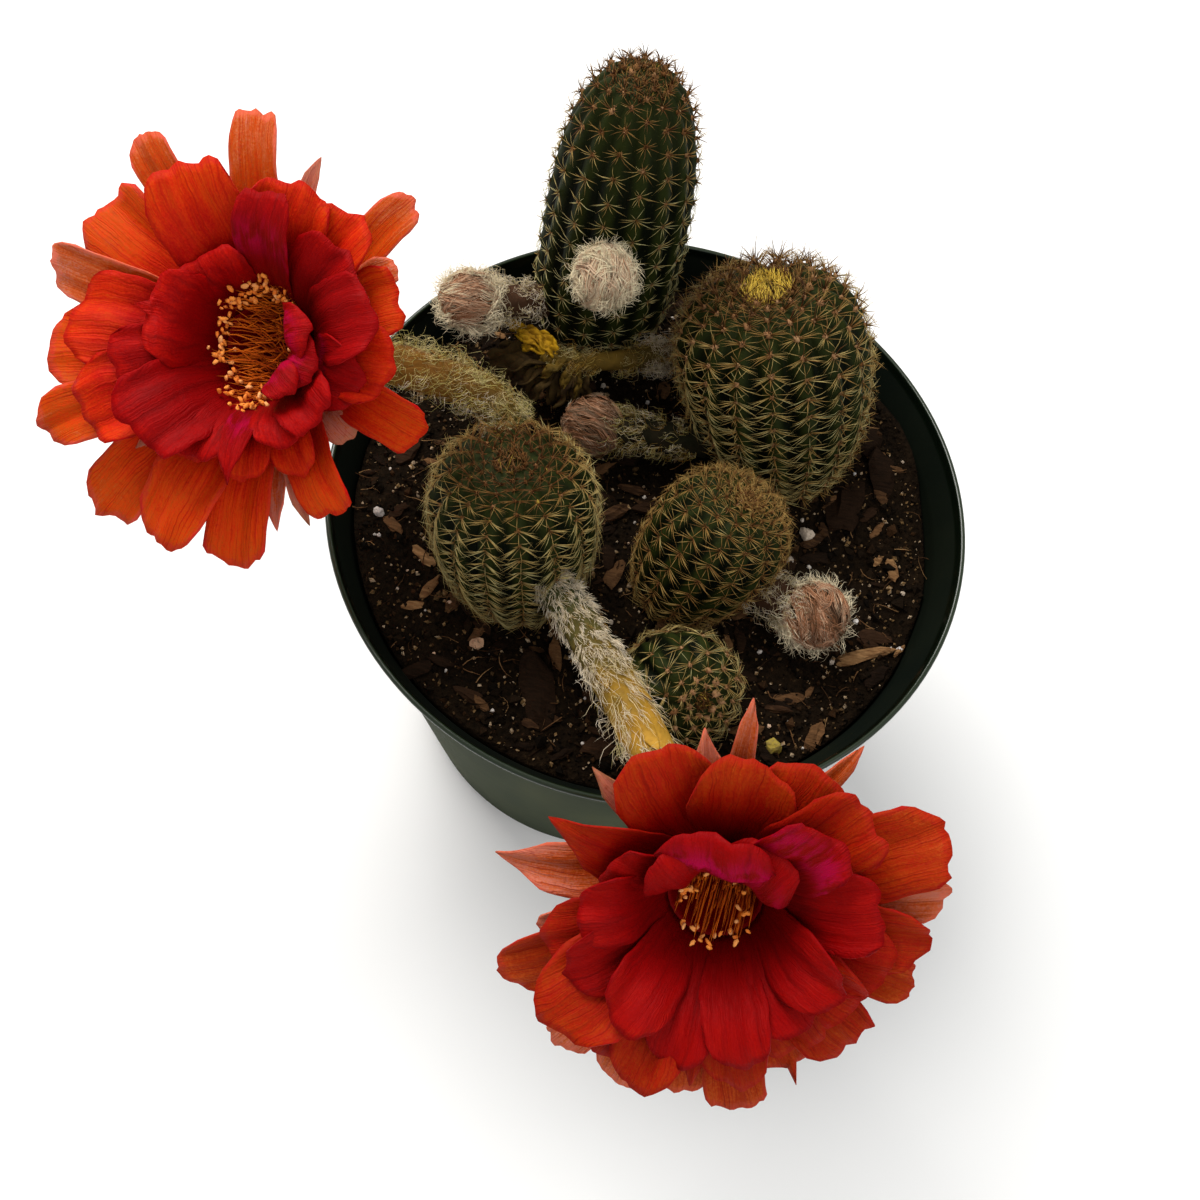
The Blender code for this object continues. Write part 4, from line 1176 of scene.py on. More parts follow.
    def add_wool(self, draw: Random, wool: Material, areoles: Areoles) -> None:
        """A felt pad and a few short hairs at each areole, and the crown's tuft of wool and young spines.

        Args:
            draw: The source of random numbers.
            wool: The finish of all of them.
            areoles: What they grow from.
        """
        armour, here, out, count = self.armour, areoles.here, areoles.out, len(areoles.here)
        size = armour.wool_size * (0.62 + 0.55 * areoles.young) * draw.uniform(0.8, 1.2, count)
        sizes = size[:, None] * draw.uniform(0.75, 1.2, (count, 3))
        tones = np.clip(armour.wool_tone + draw.normal(0, 0.08, count), 0, 1)
        pads = grains(self.name + "_pads", here + 0.15 * out, sizes, tones, draw)
        shade(pads)
        add_layer(pads, "reach", 0.55)
        settle(pads, wool, self.name)
        shape = (count, HAIRS_PER_PAD)
        way = unit(out[:, None] + draw.normal(0, 0.8, (*shape, 3)))
        start = here[:, None] + draw.normal(0, 0.3, (*shape, 3))
        reach = (size[:, None] * draw.uniform(1.0, 1.9, shape))[..., None, None] * THREE_STEPS
        hairs = (start[:, :, None] + way[:, :, None] * reach).reshape(-1, 3, 3)
        hair_tones = np.clip(armour.wool_tone - 0.1 + draw.normal(0, 0.12, len(hairs)), 0, 1)
        t_all, lengths = self.heights()
        far = armour.tuft_spread * np.sqrt(draw.uniform(0.0, 1.0, armour.tuft))
        angle = draw.uniform(0, TURN, armour.tuft)
        spot, rise, _, normal = self.surface(np.interp(lengths[-1] - far, lengths, t_all), angle)
        way = unit(normal + 0.35 * rise + draw.normal(0, 0.45, spot.shape))
        reach = armour.tuft_length * draw.uniform(0.5, 1.4, (armour.tuft, 1, 1)) * THREE_STEPS
        tuft = spot[:, None] - 0.3 * normal[:, None] + way[:, None] * reach
        tuft_tones = np.clip(armour.tuft_tone + draw.normal(0, 0.10, armour.tuft), 0, 1)
        paths, tones = np.concatenate((hairs, tuft)), np.concatenate((hair_tones, tuft_tones))
        hair = strands(self.name + "_areoles", paths, np.full(len(paths), HAIR_RADIUS), tones)
        settle(hair, wool, self.name)


# How many steps measure a crest, and the share of the height, eased, where the last one is
CREST_STEPS, CREST_END = 400, 0.985
# Where the first areole of even and odd ribs stands, as shares of the spacing
FIRST_AREOLES = (0.9, 0.4)
# How deep a stem's body reaches into the soil
STEM_SINK = 8.0
# The root radii of radial and central spines, and of the areoles' hairs
SPINE_RADII, HAIR_RADIUS = (0.09, 0.14), 0.16
HAIRS_PER_PAD = 5
# Each stem's foot, tip, radius, widest share, foot radius, squareness, ribs, groove, spacing, armour, seed
STEMS = (
    Stem(
        "stem_column", (-23, 50.5), (-20.5, 51, 186), 16.8, 0.30, 12, 2.8, 15, 0.10, 6.0,
        Armour(11, 4.6, 2, 3.6, 0.20, (0.04, 0.26, 0.70), 0.50, 0.62, 420, 6.5, 0.64, 1.6, 0.3), 11,
    ),
    Stem(
        "stem_barrel", (31, 25.5), (15, 37, 149), 22.2, 0.55, 13, 3.0, 17, 0.17, 4.6,
        Armour(15, 6.2, 4, 6.8, 0.8, (0.2, 0.34, 0.66), 0.4, 0.92, 700, 5.4, 0.94, 4.0, 1.7, 2.6, 0.25, 0.75),
        12,
    ),
    Stem(
        "stem_left", (-26.5, -24.5), (-31, -16.5, 141.5), 18.3, 0.55, 12, 2.8, 15, 0.18, 3.2,
        Armour(15, 5.6, 1, 3.2, 0.95, (0.18, 0.28, 0.86), 0.62, 0.5, 150, 3.4, 0.6, 2.8, 1.3, 3.2, 0.4, 0.3),
        13,
    ),
    Stem(
        "stem_right", (11.5, -16.5), (21, -7, 132), 15.4, 0.50, 11, 2.4, 14, 0.15, 3.1,
        Armour(15, 5.2, 2, 3.4, 0.7, (0.46, 0.46, 0.50), 0.62, 0.48, 150, 3.2, 0.62, 1.4, 1.3, 1.8, 0.3), 14,
    ),
    Stem(
        "stem_small", (11.5, -39.5), (20, -50, 117), 12.4, 0.60, 8, 2.2, 12, 0.15, 3.6,
        Armour(14, 5.2, 1, 2.6, 0.8, (0.24, 0.26, 0.36), 0.36, 0.90, 150, 2.2, 0.70, 2.0, 1.3, 1.8, 0.2), 15,
    ),
)


@dataclass(frozen=True)
class Soil:
    """The soil: level by the stems and heaped against the wall, under crumbs, bark, perlite and fibres.

    A heap has a place, a height and a spread. A stone has a place and a half size. A chip has a place, three
    half sizes, a turn in degrees and a tone.
    """

    level = 102.7
    roughness: float = 1.6
    margin: float = 3.0
    fade: float = 8.0
    reach: float = 69.5
    heaps: tuple = ((62.0, 46.0, 9.5, 20.0), (-68.0, -24.0, 3.5, 26.0), (-24.0, -68.0, 3.0, 24.0))
    stones: tuple = (
        (40.0, 4.0, 1.9), (2.0, -4.0, 1.2), (37.0, -4.0, 1.1),
        (-62.0, -17.0, 1.4), (-32.0, -43.0, 1.7), (39.0, -52.0, 1.9),
    )
    chips: tuple = (
        (55.0, -26.0, 9.5, 1.5, 1.0, 22, 0.85), (-50.0, -24.0, 4.6, 1.5, 0.8, -25, 0.9),
        (-46.0, -32.0, 3.6, 1.2, 0.8, 60, 0.8), (-16.0, -52.0, 9.0, 3.6, 1.8, -70, 0.15),
        (52.0, 35.0, 5.5, 4.2, 2.4, 15, 0.1), (49.0, -46.0, 3.2, 1.6, 1.0, 80, 0.7),
        (49.0, 14.0, 8.0, 4.0, 2.0, 75, 0.2), (-8.0, -2.0, 4.6, 1.6, 1.0, 40, 0.5),
        (-60.0, 2.0, 4.4, 2.2, 1.0, 70, 0.35), (57.0, 26.0, 6.0, 3.4, 2.2, 110, 0.12),
    )
    crumbs: int = 9000
    bark_bits: int = 190
    perlite_grains: int = 90
    fibres: int = 420
    seed: int = 31

    def heights(self, x: Array, y: Array) -> Array:
        """The height of the soil at places on it."""
        apart = np.min([np.hypot(x - s.foot[0], y - s.foot[1]) - s.radius for s in STEMS], axis=0)
        free = np.clip((apart - self.margin) / self.fade, 0, 1)
        heap = 0.0
        for cx, cy, high, spread in self.heaps:
            heap = heap + high * np.exp(-((np.hypot(x - cx, y - cy) / spread) ** 2))
        rough = np.array([noise.noise(Vector((a * 0.09, b * 0.09, 3.0))) for a, b in zip(x, y)])
        fine = np.array([noise.fractal(Vector((a, b, 0.0)) * 0.35, 1.0, 2.0, 3) for a, b in zip(x, y)])
        return self.level + free * (heap + self.roughness * rough) + 0.55 * fine

    def ground(self, pot: Pot) -> Piece:
        """The closed body of soil, fine on its top."""
        edge, foot = pot.inner_radius(self.level - 2.0) - 0.3, pot.inner_radius(pot.floor) - 0.35

        def place(u: Array, v: Array) -> Array:
            radius = np.interp(v, (0.0, 0.90, 0.925, 0.975, 1.0), (0.0, edge, edge, foot, 0.0))
            x, y = radius * np.cos(TURN * u), radius * np.sin(TURN * u)
            below = np.interp(v, (0.925, 0.975), (self.level - 2.0, pot.floor + 0.3))
            return np.stack((x, y, np.where(v <= 0.901, self.heights(x, y), below)), axis=1)

        return shaped_grid("soil_ground", 160, 80, place)

    def scatter(self, draw: Random, count: int, margin: float) -> Array:
        """Places on the open soil.

        Args:
            draw: The source of random numbers.
            count: How many places.
            margin: How far they keep from the stems' feet.

        Returns:
            The places, as count x 3.
        """
        angle, radius = draw.uniform(0, TURN, 3 * count), self.reach * np.sqrt(draw.uniform(0, 1, 3 * count))
        x, y = radius * np.cos(angle), radius * np.sin(angle)
        apart = [np.hypot(x - s.foot[0], y - s.foot[1]) - s.foot_radius for s in STEMS]
        keep = np.min(apart, axis=0) > margin
        x, y = x[keep][:count], y[keep][:count]
        return np.stack((x, y, self.heights(x, y)), axis=1)

    def build(self, pot: Pot) -> None:
        """Builds the ground and everything that lies on it, inside the pot."""
        finish, draw = Potting(), np.random.default_rng(self.seed)
        settle(self.ground(pot), finish.soil(), "soil")
        self.lay_crumbs(draw, finish.crumbs())
        bark = finish.bark()
        self.lay_bark(draw, bark)
        self.lay_fibres(draw, bark)
        self.lay_perlite(draw, finish.perlite())

    def lay_crumbs(self, draw: Random, finish: Material) -> None:
        """Small crumbs, dark but for one in a few."""
        places = self.scatter(draw, self.crumbs, 0.5)
        count = len(places)
        size = np.clip(draw.lognormal(-0.85, 0.55, (count, 1)), 0.14, 2.2)
        sizes = size * draw.uniform(0.55, 1.15, (count, 3))
        places[:, 2] += 0.35 * size[:, 0]
        tones = draw.uniform(0.0, 0.74, count) ** 1.25
        pale = draw.uniform(0, 1.2, count) < 0.64 - 0.50 * size[:, 0]
        tones = np.where(pale, draw.uniform(0.78, 1.0, count), tones)
        settle(grains("soil_crumbs", places, sizes, tones, draw), finish, "soil")

    def lay_perlite(self, draw: Random, finish: Material) -> None:
        """Small pale grains, and the stones that the photograph shows."""
        places = self.scatter(draw, self.perlite_grains, 2.0)
        size = draw.uniform(0.25, 0.75, (len(places), 1))
        stones = np.array(self.stones)
        spots = np.column_stack((stones[:, :2], self.heights(stones[:, 0], stones[:, 1])))
        places, size = np.concatenate((places, spots)), np.concatenate((size, stones[:, 2:]))
        places[:, 2] += 0.4 * size[:, 0]
        sizes = size * draw.uniform(0.7, 1.1, (len(places), 3))
        tones = np.append(draw.uniform(0, 0.75, len(places) - 3), (0.15, 0.8, 1.0))
        settle(grains("perlite", places, sizes, tones, draw, 2), finish, "soil")

    def lay_bark(self, draw: Random, finish: Material) -> None:
        """Bark bits, and the chips and splinters that the photograph shows."""
        places, chips = self.scatter(draw, self.bark_bits, 1.0), np.array(self.chips)
        count = len(places)
        spots = np.column_stack((chips[:, :2], self.heights(chips[:, 0], chips[:, 1]) + 0.4 * chips[:, 4]))
        length = draw.uniform(1.4, 4.2, count)
        shares = (np.ones(count), draw.uniform(0.25, 0.5, count), draw.uniform(0.1, 0.25, count))
        sizes = np.concatenate((length[:, None] * np.stack(shares, axis=1), chips[:, 2:5]))
        places[:, 2] += 0.5
        places = np.concatenate((places, spots))
        turns = np.concatenate((draw.uniform(0, TURN, count), np.radians(chips[:, 5])))[:, None]
        tones = np.concatenate((draw.uniform(0.0, 0.9, count) ** 1.2, chips[:, 6]))
        bark = grains("bark", np.zeros_like(places), np.ones_like(places), tones, draw, 2)
        x, y, z = np.moveaxis(points_of(bark).reshape(len(places), -1, 3) * sizes[:, None], 2, 0)
        z = z + draw.normal(0, 0.16, (len(places), 1)) * x
        x, y = x * np.cos(turns) - y * np.sin(turns), x * np.sin(turns) + y * np.cos(turns)
        laid = np.stack((x, y, z), axis=2) + places[:, None]
        bark.data.vertices.foreach_set("co", (laid * MM).astype(np.float32).ravel())
        settle(bark, finish, "soil")

    def lay_fibres(self, draw: Random, finish: Material) -> None:
        """Dry fibres that lie about."""
        places = self.scatter(draw, self.fibres, 1.0)
        count = len(places)
        way, length = draw.uniform(0, TURN, count), draw.uniform(2.0, 7.0, count)[:, None]
        share = np.linspace(-0.5, 0.5, 5)
        swing = way[:, None] + draw.normal(0, 0.5, (count, 1)) * share
        x = places[:, :1] + length * share * np.cos(swing)
        y = places[:, 1:2] + length * share * np.sin(swing)
        z = places[:, 2:] + 0.5 + draw.uniform(0, 0.8, (count, 5))
        radii, tones = draw.uniform(0.09, 0.2, count), draw.uniform(0.2, 1, count)
        settle(strands("soil_fibres", np.stack((x, y, z), axis=2), radii, tones), finish, "soil")


def tube(name: str, route: Route, radii: Radii, columns: int, rows: int) -> Piece:
    """A round, closed tube along a smooth curve, with a few low bumps.

    Args:
        name: The new piece's name.
        route: The points of its middle line.
        radii: Its radii, evenly spaced along it.
        columns: Faces round it.
        rows: Faces along it.

    Returns:
        The new piece, whose "tone" is the share of the route.
    """
    stations = np.linspace(0, 1, len(radii))

    def place(u: Array, v: Array) -> Array:
        share = np.clip((v - 0.02) / 0.96, 0, 1)
        centre, along = run_of(route, share)
        bumps = 1 + 0.05 * np.sin(5 * TURN * u + 40 * share) * np.sin(23 * share)
        radius = np.where((v < 0.01) | (v > 0.99), 0.0, np.interp(share, stations, radii) * bumps)
        return centre + radius[:, None] * around(TURN * u, *across_ways(along))

    piece = shaped_grid(name, columns, rows, place)
    fine = np.linspace(0, 1, 60)
    apart = np.linalg.norm(points_of(piece)[:, None] - curve_through(route, fine)[None], axis=2)
    add_layer(piece, "tone", fine[apart.argmin(axis=1)])
    return piece


@dataclass(frozen=True)
class Fleece:
    """Wool in tufts along a tube, from the first to the last share of its run.

    It lies along the tube where stand is 0, and sticks out where it is over 1. Side keeps it to one side.
    """

    first: float
    last: float
    tufts: int
    hairs: int
    length: float
    stand: float
    curl: float
    tones: Pair
    side: Point | None = None
    radius: float = 0.06

    def grow(self, draw: Random, route: Route, radii: Radii) -> Strands:
        """Grows the wool.

        Args:
            draw: The source of random numbers.
            route: The points of the tube's middle line.
            radii: The tube's radii, evenly spaced along it.

        Returns:
            The paths, radii and tones of the hairs.
        """
        tries = 4 * self.tufts
        share, angle = draw.uniform(self.first, self.last, tries), draw.uniform(0, TURN, tries)
        centre, along = run_of(route, share)
        out = around(angle, *across_ways(along))
        facing = np.full(len(share), True) if self.side is None else out @ unit(np.array(self.side)) > 0.25
        rows = [x[facing][: self.tufts] for x in (centre, along, out, share)]
        tufts, count = len(rows[0]), len(rows[0]) * self.hairs
        centre, along, out, share = (np.repeat(x, self.hairs, axis=0) for x in rows)
        leaning = np.repeat(draw.normal(0, 0.28, (tufts, 3)), self.hairs, axis=0)
        skin = np.interp(share, np.linspace(0, 1, len(radii)), radii) - 0.2
        start = centre + out * skin[:, None] + draw.normal(0, 0.35, (count, 3))
        way = unit(along + self.stand * out + leaning + draw.normal(0, 0.22, (count, 3)))
        length = self.length * draw.uniform(0.5, 1.25, count)
        paths = curly(draw, start, way, length, (4, 9), self.curl * 0.22, 0.28 * self.stand * out)
        tones = draw.uniform(*self.tones, count)
        return paths, self.radius * draw.uniform(0.7, 1.3, count), tones


def gathered(grown: list[Strands]) -> Strands:
    """The strands of several growths as one."""
    paths, radii, tones = (np.concatenate(rows) for rows in zip(*grown))
    return paths, radii, tones


def fleece(name: str, coats: tuple[Fleece, ...], route: Route, radii: Radii, seed: int) -> Piece:
    """All the wool along one tube.

    Args:
        name: The new piece's name.
        coats: The kinds of wool that it has.
        route: The points of the tube's middle line.
        radii: The tube's radii, evenly spaced along it.
        seed: The seed of the wool.

    Returns:
        The new piece.
    """
    draw = np.random.default_rng(seed)
    return strands(name, *gathered([coat.grow(draw, route, radii) for coat in coats]), 0.5)


def scales(name: str, route: Route, radii: Radii, count: int, longest: float, seed: int) -> Piece:
    """Pointed scales that lie along a tube and grow longer towards the bloom.

    Args:
        name: The new piece's name.
        route: The points of the tube's middle line.
        radii: The tube's radii, evenly spaced along it.
        count: How many scales there are.
        longest: The length of the last one, in millimetres.
        seed: The seed of their small differences.

    Returns:
        All the scales as one piece with a thickness.
    """
    draw = np.random.default_rng(seed)
    made = []
    for index in range(count):
        share = 0.04 + 0.90 * (index + draw.uniform(-0.3, 0.3)) / count
        centre, along = (x[0] for x in run_of(route, np.array([share])))
        side, across = (x[0] for x in across_ways(along[None]))
        angle = GOLDEN_ANGLE * index
        out = math.cos(angle) * side + math.sin(angle) * across
        beside = np.cross(along, out)
        radius = np.interp(share, np.linspace(0, 1, len(radii)), radii)
        length = 2.2 + (longest - 2.2) * share**1.3
        half, lift = 0.9 + 1.5 * share, draw.uniform(0.04, 0.16)

        def place(u: Array, v: Array) -> Array:
            wide = (2 * u - 1) * half * np.sin(math.pi * np.clip(0.25 + 0.72 * v, 0, 1)) ** 0.9
            rise = radius - 0.25 + 0.35 * v + lift * length * v**2 - wide**2 / (2 * radius)
            return centre + along * (length * v)[:, None] + out * rise[:, None] + beside * wide[:, None]

        scale = shaped_grid("scale", 6, 8, place, weld=False)
        add_layer(scale, "tone", share + 0.12 * np.repeat(np.linspace(0, 1, 9), 7))
        made.append(scale)
    return thickened(join(name, made), 0.25)


@dataclass(frozen=True)
class Bud:
    """A woolly bud on a short tube: silky locks combed over its face, and a halo of pale curly wool.

    The locks are drawn round the comb's axis, each over sweep degrees, and puff lifts them off the ball. Face
    and halo_tone are the tones of the wool, and rim is where the one turns into the other.
    """

    name: str
    root: Point
    head: Point
    neck: float
    ball: float
    look: Point
    comb: Point
    sweep: float
    muss: float
    face: float
    rim: float
    halo: int
    halo_length: float
    halo_tone: float
    neck_tufts: int
    neck_tones: Pair
    flesh: Flesh
    seed: int
    puff: float = 0.0

    def build(self, wool: Material, hair: Material) -> None:
        """Builds the core, the combed locks and halo of the head, and the wool of the neck.

        Args:
            wool: The finish of the head's wool.
            hair: The finish of the neck's wool.
        """
        root, head = np.array(self.root), np.array(self.head)
        along, run = unit(head - root), np.linalg.norm(head - root)
        shown = [step for step in CORE_STEPS if run + step * self.ball > 0.4 * run]
        stations = [-2.0, 0.35 * run] + [run + step * self.ball for step in shown]
        radii = [self.neck, self.neck] + [self.ball * math.sqrt(1 - step * step) for step in shown]
        route = tuple(tuple(root + along * station) for station in stations)
        core = tube(self.name + "_core", route, tuple(0.93 * radius for radius in radii), 32, 30)
        settle(core, self.flesh.material(), self.name)
        draw, look = np.random.default_rng(self.seed), unit(np.array(self.look))
        grown = gathered([self.combed(draw, head, look), self.curls(draw, head, look)])
        settle(strands(self.name + "_wool", *grown, 0.4), wool, self.name)
        if run > 1.6 * self.ball:
            end = tuple(root + along * (run - 0.5 * self.ball))
            straight = (self.root, tuple(root + along * 0.5 * run), end)
            coat = Fleece(0.05, 0.98, self.neck_tufts, 8, 4.6, 0.9, 0.7, self.neck_tones)
            radii = (self.neck, self.neck, 0.9 * self.ball)
            neck = fleece(self.name + "_neck_wool", (coat,), straight, radii, self.seed + 5)
            settle(neck, hair, self.name)

    def combed(self, draw: Random, head: Array, look: Array) -> Strands:
        """Locks of hair that lie over the face, all drawn round the comb's axis.

        Args:
            draw: The source of random numbers.
            head: The middle of the ball.
            look: The way that the face looks.

        Returns:
            The paths, radii and tones of the hairs.
        """
        locks, hairs = 95, 10
        ways = even_ways(3 * locks)
        ways = draw.permutation(ways[ways @ look > -0.25])[:locks]
        axis = unit(np.array(self.comb) + draw.normal(0, self.muss, ways.shape))
        axis = np.repeat(axis, hairs, axis=0)
        lock = np.repeat(ways, hairs, axis=0)
        count = len(lock)
        start = unit(lock + draw.normal(0, 0.070, (count, 3)))
        half = np.radians(self.sweep) / 2
        swing = np.repeat(draw.uniform(0.6, 1.2, len(ways)), hairs) * half
        steps = np.linspace(-1, 1, 5)
        middle = np.repeat(draw.normal(0, 0.25, len(ways)), hairs)
        path = turned_about(axis, middle[:, None] + swing[:, None] * steps, start)
        drift = np.repeat(draw.normal(0, 0.10, (len(ways), 1, 3)), hairs, axis=0)
        phase = np.repeat(draw.uniform(0, TURN, len(ways)), hairs)[:, None] + draw.normal(0, 0.4, (count, 1))
        wave = 0.06 * np.sin(5 * steps + phase)[..., None] * axis[:, None]
        path = unit(path + drift * steps[:, None] + wave)
        lift = np.repeat(draw.uniform(0.0, 1.0, len(ways)), hairs)[:, None]
        lift = lift + draw.uniform(0, 0.35, (count, 1))
        lift = lift + draw.uniform(0, 0.9, (count, 1)) * np.maximum(steps, 0) ** 2
        paths = head + (self.ball + self.puff - 0.35 + lift)[..., None] * path
        shade = np.repeat(draw.normal(0, 0.10, len(ways)), hairs) + draw.normal(0, 0.15, count)
        middling = smooth(lock @ look, self.rim - 0.45, self.rim + 0.05)
        tones = np.clip(self.halo_tone + (self.face - self.halo_tone) * middling + shade, 0, 1)
        return paths, draw.uniform(0.07, 0.12, count), tones

    def curls(self, draw: Random, head: Array, look: Array) -> Strands:
        """Locks of pale curly wool round the face, which stand off the head and fly away at their tips.

        Args:
            draw: The source of random numbers.
            head: The middle of the ball.
            look: The way that the face looks.

        Returns:
            The paths, radii and tones of the hairs.
        """
        hairs = 9
        ways = even_ways(4 * self.halo)
        level = ways @ look
        ways = draw.permutation(ways[(level < self.rim) & (level > -0.75)])[: self.halo]
        lock = np.repeat(ways, hairs, axis=0)
        count = len(lock)
        tangent = unit(np.cross(lock, look)) * np.repeat(draw.choice((-1.0, 1.0), len(ways)), hairs)[:, None]
        sway = np.repeat(draw.uniform(0.2, 1.2, (len(ways), 1)), hairs, axis=0)
        way = unit(0.85 * lock + 0.30 * look + sway * tangent + draw.normal(0, 0.20, (count, 3)))
        start = head + unit(lock + draw.normal(0, 0.07, (count, 3))) * (self.ball - 0.3)
        length = self.halo_length * draw.uniform(0.5, 1.2, count)
        paths = curly(draw, start, way, length, (2, 5), 0.12, 0.30 * lock)
        tones = np.clip(self.halo_tone + draw.normal(0, 0.06, count), 0, 1)
        return paths, draw.uniform(0.045, 0.08, count), tones


# Where a bud's core is measured from behind the head's middle to its front, in ball radii
CORE_STEPS = (-0.80, -0.45, 0.0, 0.45, 0.80, 0.97)
PINK_FLESH = Flesh("bud_flesh", (0.072, 0.034, 0.018), (0.040, 0.020, 0.010), 0.9)
DARK_FLESH = Flesh("bud_flesh_dark", (0.022, 0.016, 0.008), (0.010, 0.010, 0.004), 0.9)
CREAM_FLESH = Flesh("bud_flesh_cream", (0.300, 0.200, 0.120), (0.180, 0.115, 0.070), 0.9)
# Each bud's root, head, neck and ball, look, comb, sweep, muss, tones, halo, neck wool, flesh, seed and puff
BUDS = (
    Bud(
        "bud_back_left", (-36.5, 42.5, 121), (-51.7, 31, 130), 4.2, 6.6, (0.10, -0.55, 0.80),
        (-0.22, 0.88, 0.41), 95, 0.10, 0.58, 0.60, 80, 5.6, 0.05, 80, (0.0, 0.3), PINK_FLESH, 21,
    ),
    Bud(
        "bud_column", (-22.0, 36.5, 143), (-20.7, 27.8, 152), 4.0, 6.2, (0.10, -0.62, 0.78),
        (0.85, 0.40, 0.10), 110, 0.45, 0.20, 0.75, 75, 4.9, 0.03, 30, (0.0, 0.2), CREAM_FLESH, 22, 0.3,
    ),
    Bud(
        "bud_middle", (10.0, 18.0, 112.5), (-17.4, 15.6, 112.6), 4.2, 5.8, (-0.35, -0.45, 0.75),
        (0.25, 0.85, 0.35), 120, 0.16, 0.84, 0.10, 24, 3.6, 0.45, 90, (0.05, 0.95), DARK_FLESH, 23, 1.0,
    ),
    Bud(
        "bud_right", (26.5, -16.5, 111), (42.5, -22.0, 113), 4.6, 7.0, (0.22, -0.35, 0.90),
        (0.65, 0.45, 0.35), 105, 0.50, 0.66, 0.30, 80, 6.0, 0.05, 60, (0.0, 0.35), PINK_FLESH, 24, 0.2,
    ),
)


class Ring(Enum):
    """A flower's rings, as (rise, leave, point way, root radius, root height): degrees, then millimetres."""

    SEPAL = (0, 28, -14, 6.3, -13.0)
    OUTER = (4, 36, -12, 7.2, -10.4)
    MIDDLE = (14, 50, -2, 8.0, -7.6)
    INNER = (26, 62, 6, 8.8, -5.2)
    HOOD = (32, 100, -16, 8.4, -5.4)


class End(Enum):
    """How a petal ends: how far its sides draw back, in half widths, and the power of that curve."""

    ROUND = (1.05, 2.0)
    BLUNT = (0.60, 2.5)
    POINTED = (1.9, 1.3)


ROUND, BLUNT, POINTED = End


@dataclass(frozen=True)
class Blade:
    """One petal: its clock angle, reach, width, tone and end, and how much magenta sheen it has."""

    clock: float
    reach: float
    width: float
    tone: float
    end: End = End.ROUND
    sheen: float = 0.0
    painted_sheen_at: float = 0.52

    def outline(self, t: Array, ring: Ring) -> Array:
        """The half width at shares t of the length."""
        if self.end is POINTED:
            share = 0.42 + 0.58 * np.sin(math.pi * np.clip(t, 0, 1) ** 0.85)
        else:
            narrow = 0.56 if ring in (Ring.INNER, Ring.HOOD) else 0.40
            share = narrow + (1 - narrow) * np.sin(0.5 * math.pi * np.minimum(t / 0.68, 1)) ** 1.2
        return 0.5 * self.width * share

    def shape(self, centre: Array, axes: Axes, ring: Ring, tip_up: float, draw: Random) -> Piece:
        """Builds the petal, arched, cupped, creased and waved.

        Args:
            centre: The middle of the flower.
            axes: The way it faces, its twelve o'clock and its three o'clock.
            ring: The ring that the petal stands in.
            tip_up: Degrees that it rises above its ring.
            draw: The source of random numbers.

        Returns:
            The petal as a sheet without thickness.
        """
        rise, leave, point_way, root_radius, root_height = ring.value
        facing, twelve, three = axes
        out = around(np.radians(self.clock), twelve, three)
        side = np.cross(facing, out)

        def polar(degrees: float) -> Array:
            return around(np.radians(degrees), out, facing)

        root = centre + root_radius * out + root_height * facing
        tip = centre + self.reach * polar(rise + tip_up)
        arm = (0.46 if ring is Ring.HOOD else 0.34) * self.reach
        a, b, c, d = root, root + arm * polar(leave), tip - arm * polar(point_way), tip
        phases = draw.uniform(0, TURN, 6)
        draw_back, power = self.end.value
        draw_back *= 0.5 * self.width / self.reach
        broad = self.width / 14
        ruffle, fold = draw.uniform(0.6, 1.4) * broad, draw.uniform(0.50, 1.15) * broad
        twist, curl = math.radians(draw.normal(0, 9)), draw.uniform(-1.8, 0.4)

        def middle(t: Array) -> Array:
            t = t[:, None]
            return a * (1 - t) ** 3 + 3 * b * t * (1 - t) ** 2 + 3 * c * t**2 * (1 - t) + d * t**3

        def shortened(u: Array) -> Array:
            if self.end is POINTED:
                return 1 - draw_back * np.abs(u) ** power
            rows = zip((0.018, 0.011, 0.004), (4, 9, 17), phases)
            waves = sum(high * np.sin(often * u + phase) for high, often, phase in rows) * min(broad, 1.0)
            bent = draw_back * (1 - (1 - np.abs(u) ** power) ** (1 / power))
            return 1 - bent + waves + 0.010 * np.exp(-((u / 0.10) ** 2))

        def place(u: Array, v: Array) -> Array:
            u = 2 * u - 1
            t, hand = v * shortened(u), np.sign(u)
            tangent = unit(middle(np.minimum(t + 0.01, 1.02)) - middle(t - 0.01))
            face = unit(np.cross(tangent, side))
            if face[0] @ facing < 0:
                face = -face
            edge = 1 + 0.03 * np.sin(13 * t + phases[3] + 2 * hand)
            edge = edge + 0.015 * np.sin(33 * t + phases[4] * hand)
            half = self.outline(t, ring) * edge
            wave = ruffle * t**2 * np.abs(u) ** 1.5 * np.sin(6.5 * t + phases[4] + 1.7 * hand)
            crease = np.sin(4.6 * u + phases[5]) + 0.5 * np.sin(10 * u + phases[0] + 2 * t)
            keel = -0.22 * np.exp(-((u / 0.10) ** 2)) * (1 - 0.6 * t)
            lift = 0.15 * half * u**2 + wave + fold * t * crease * (1 - 0.4 * t) + keel + curl * t**4
            across, lifted = around(twist * t, side, face), around(twist * t, face, -side)
            return middle(t) + across * (u * half)[:, None] + lifted * lift[:, None]

        columns, rows = (8, 16) if self.width < 7 else (14, 18)
        blade = shaped_grid("blade", columns, rows, place, weld=False)
        along = np.repeat(np.linspace(0, 1, rows + 1), columns + 1)
        add_layer(blade, "tone", self.tone + draw.normal(0, 0.02))
        # Painted highlight: a band of magenta sheen across the petal, centred at its sheen's place
        add_layer(blade, "sheen", self.sheen * np.exp(-(((along - self.painted_sheen_at) / 0.12) ** 2)))
        return blade


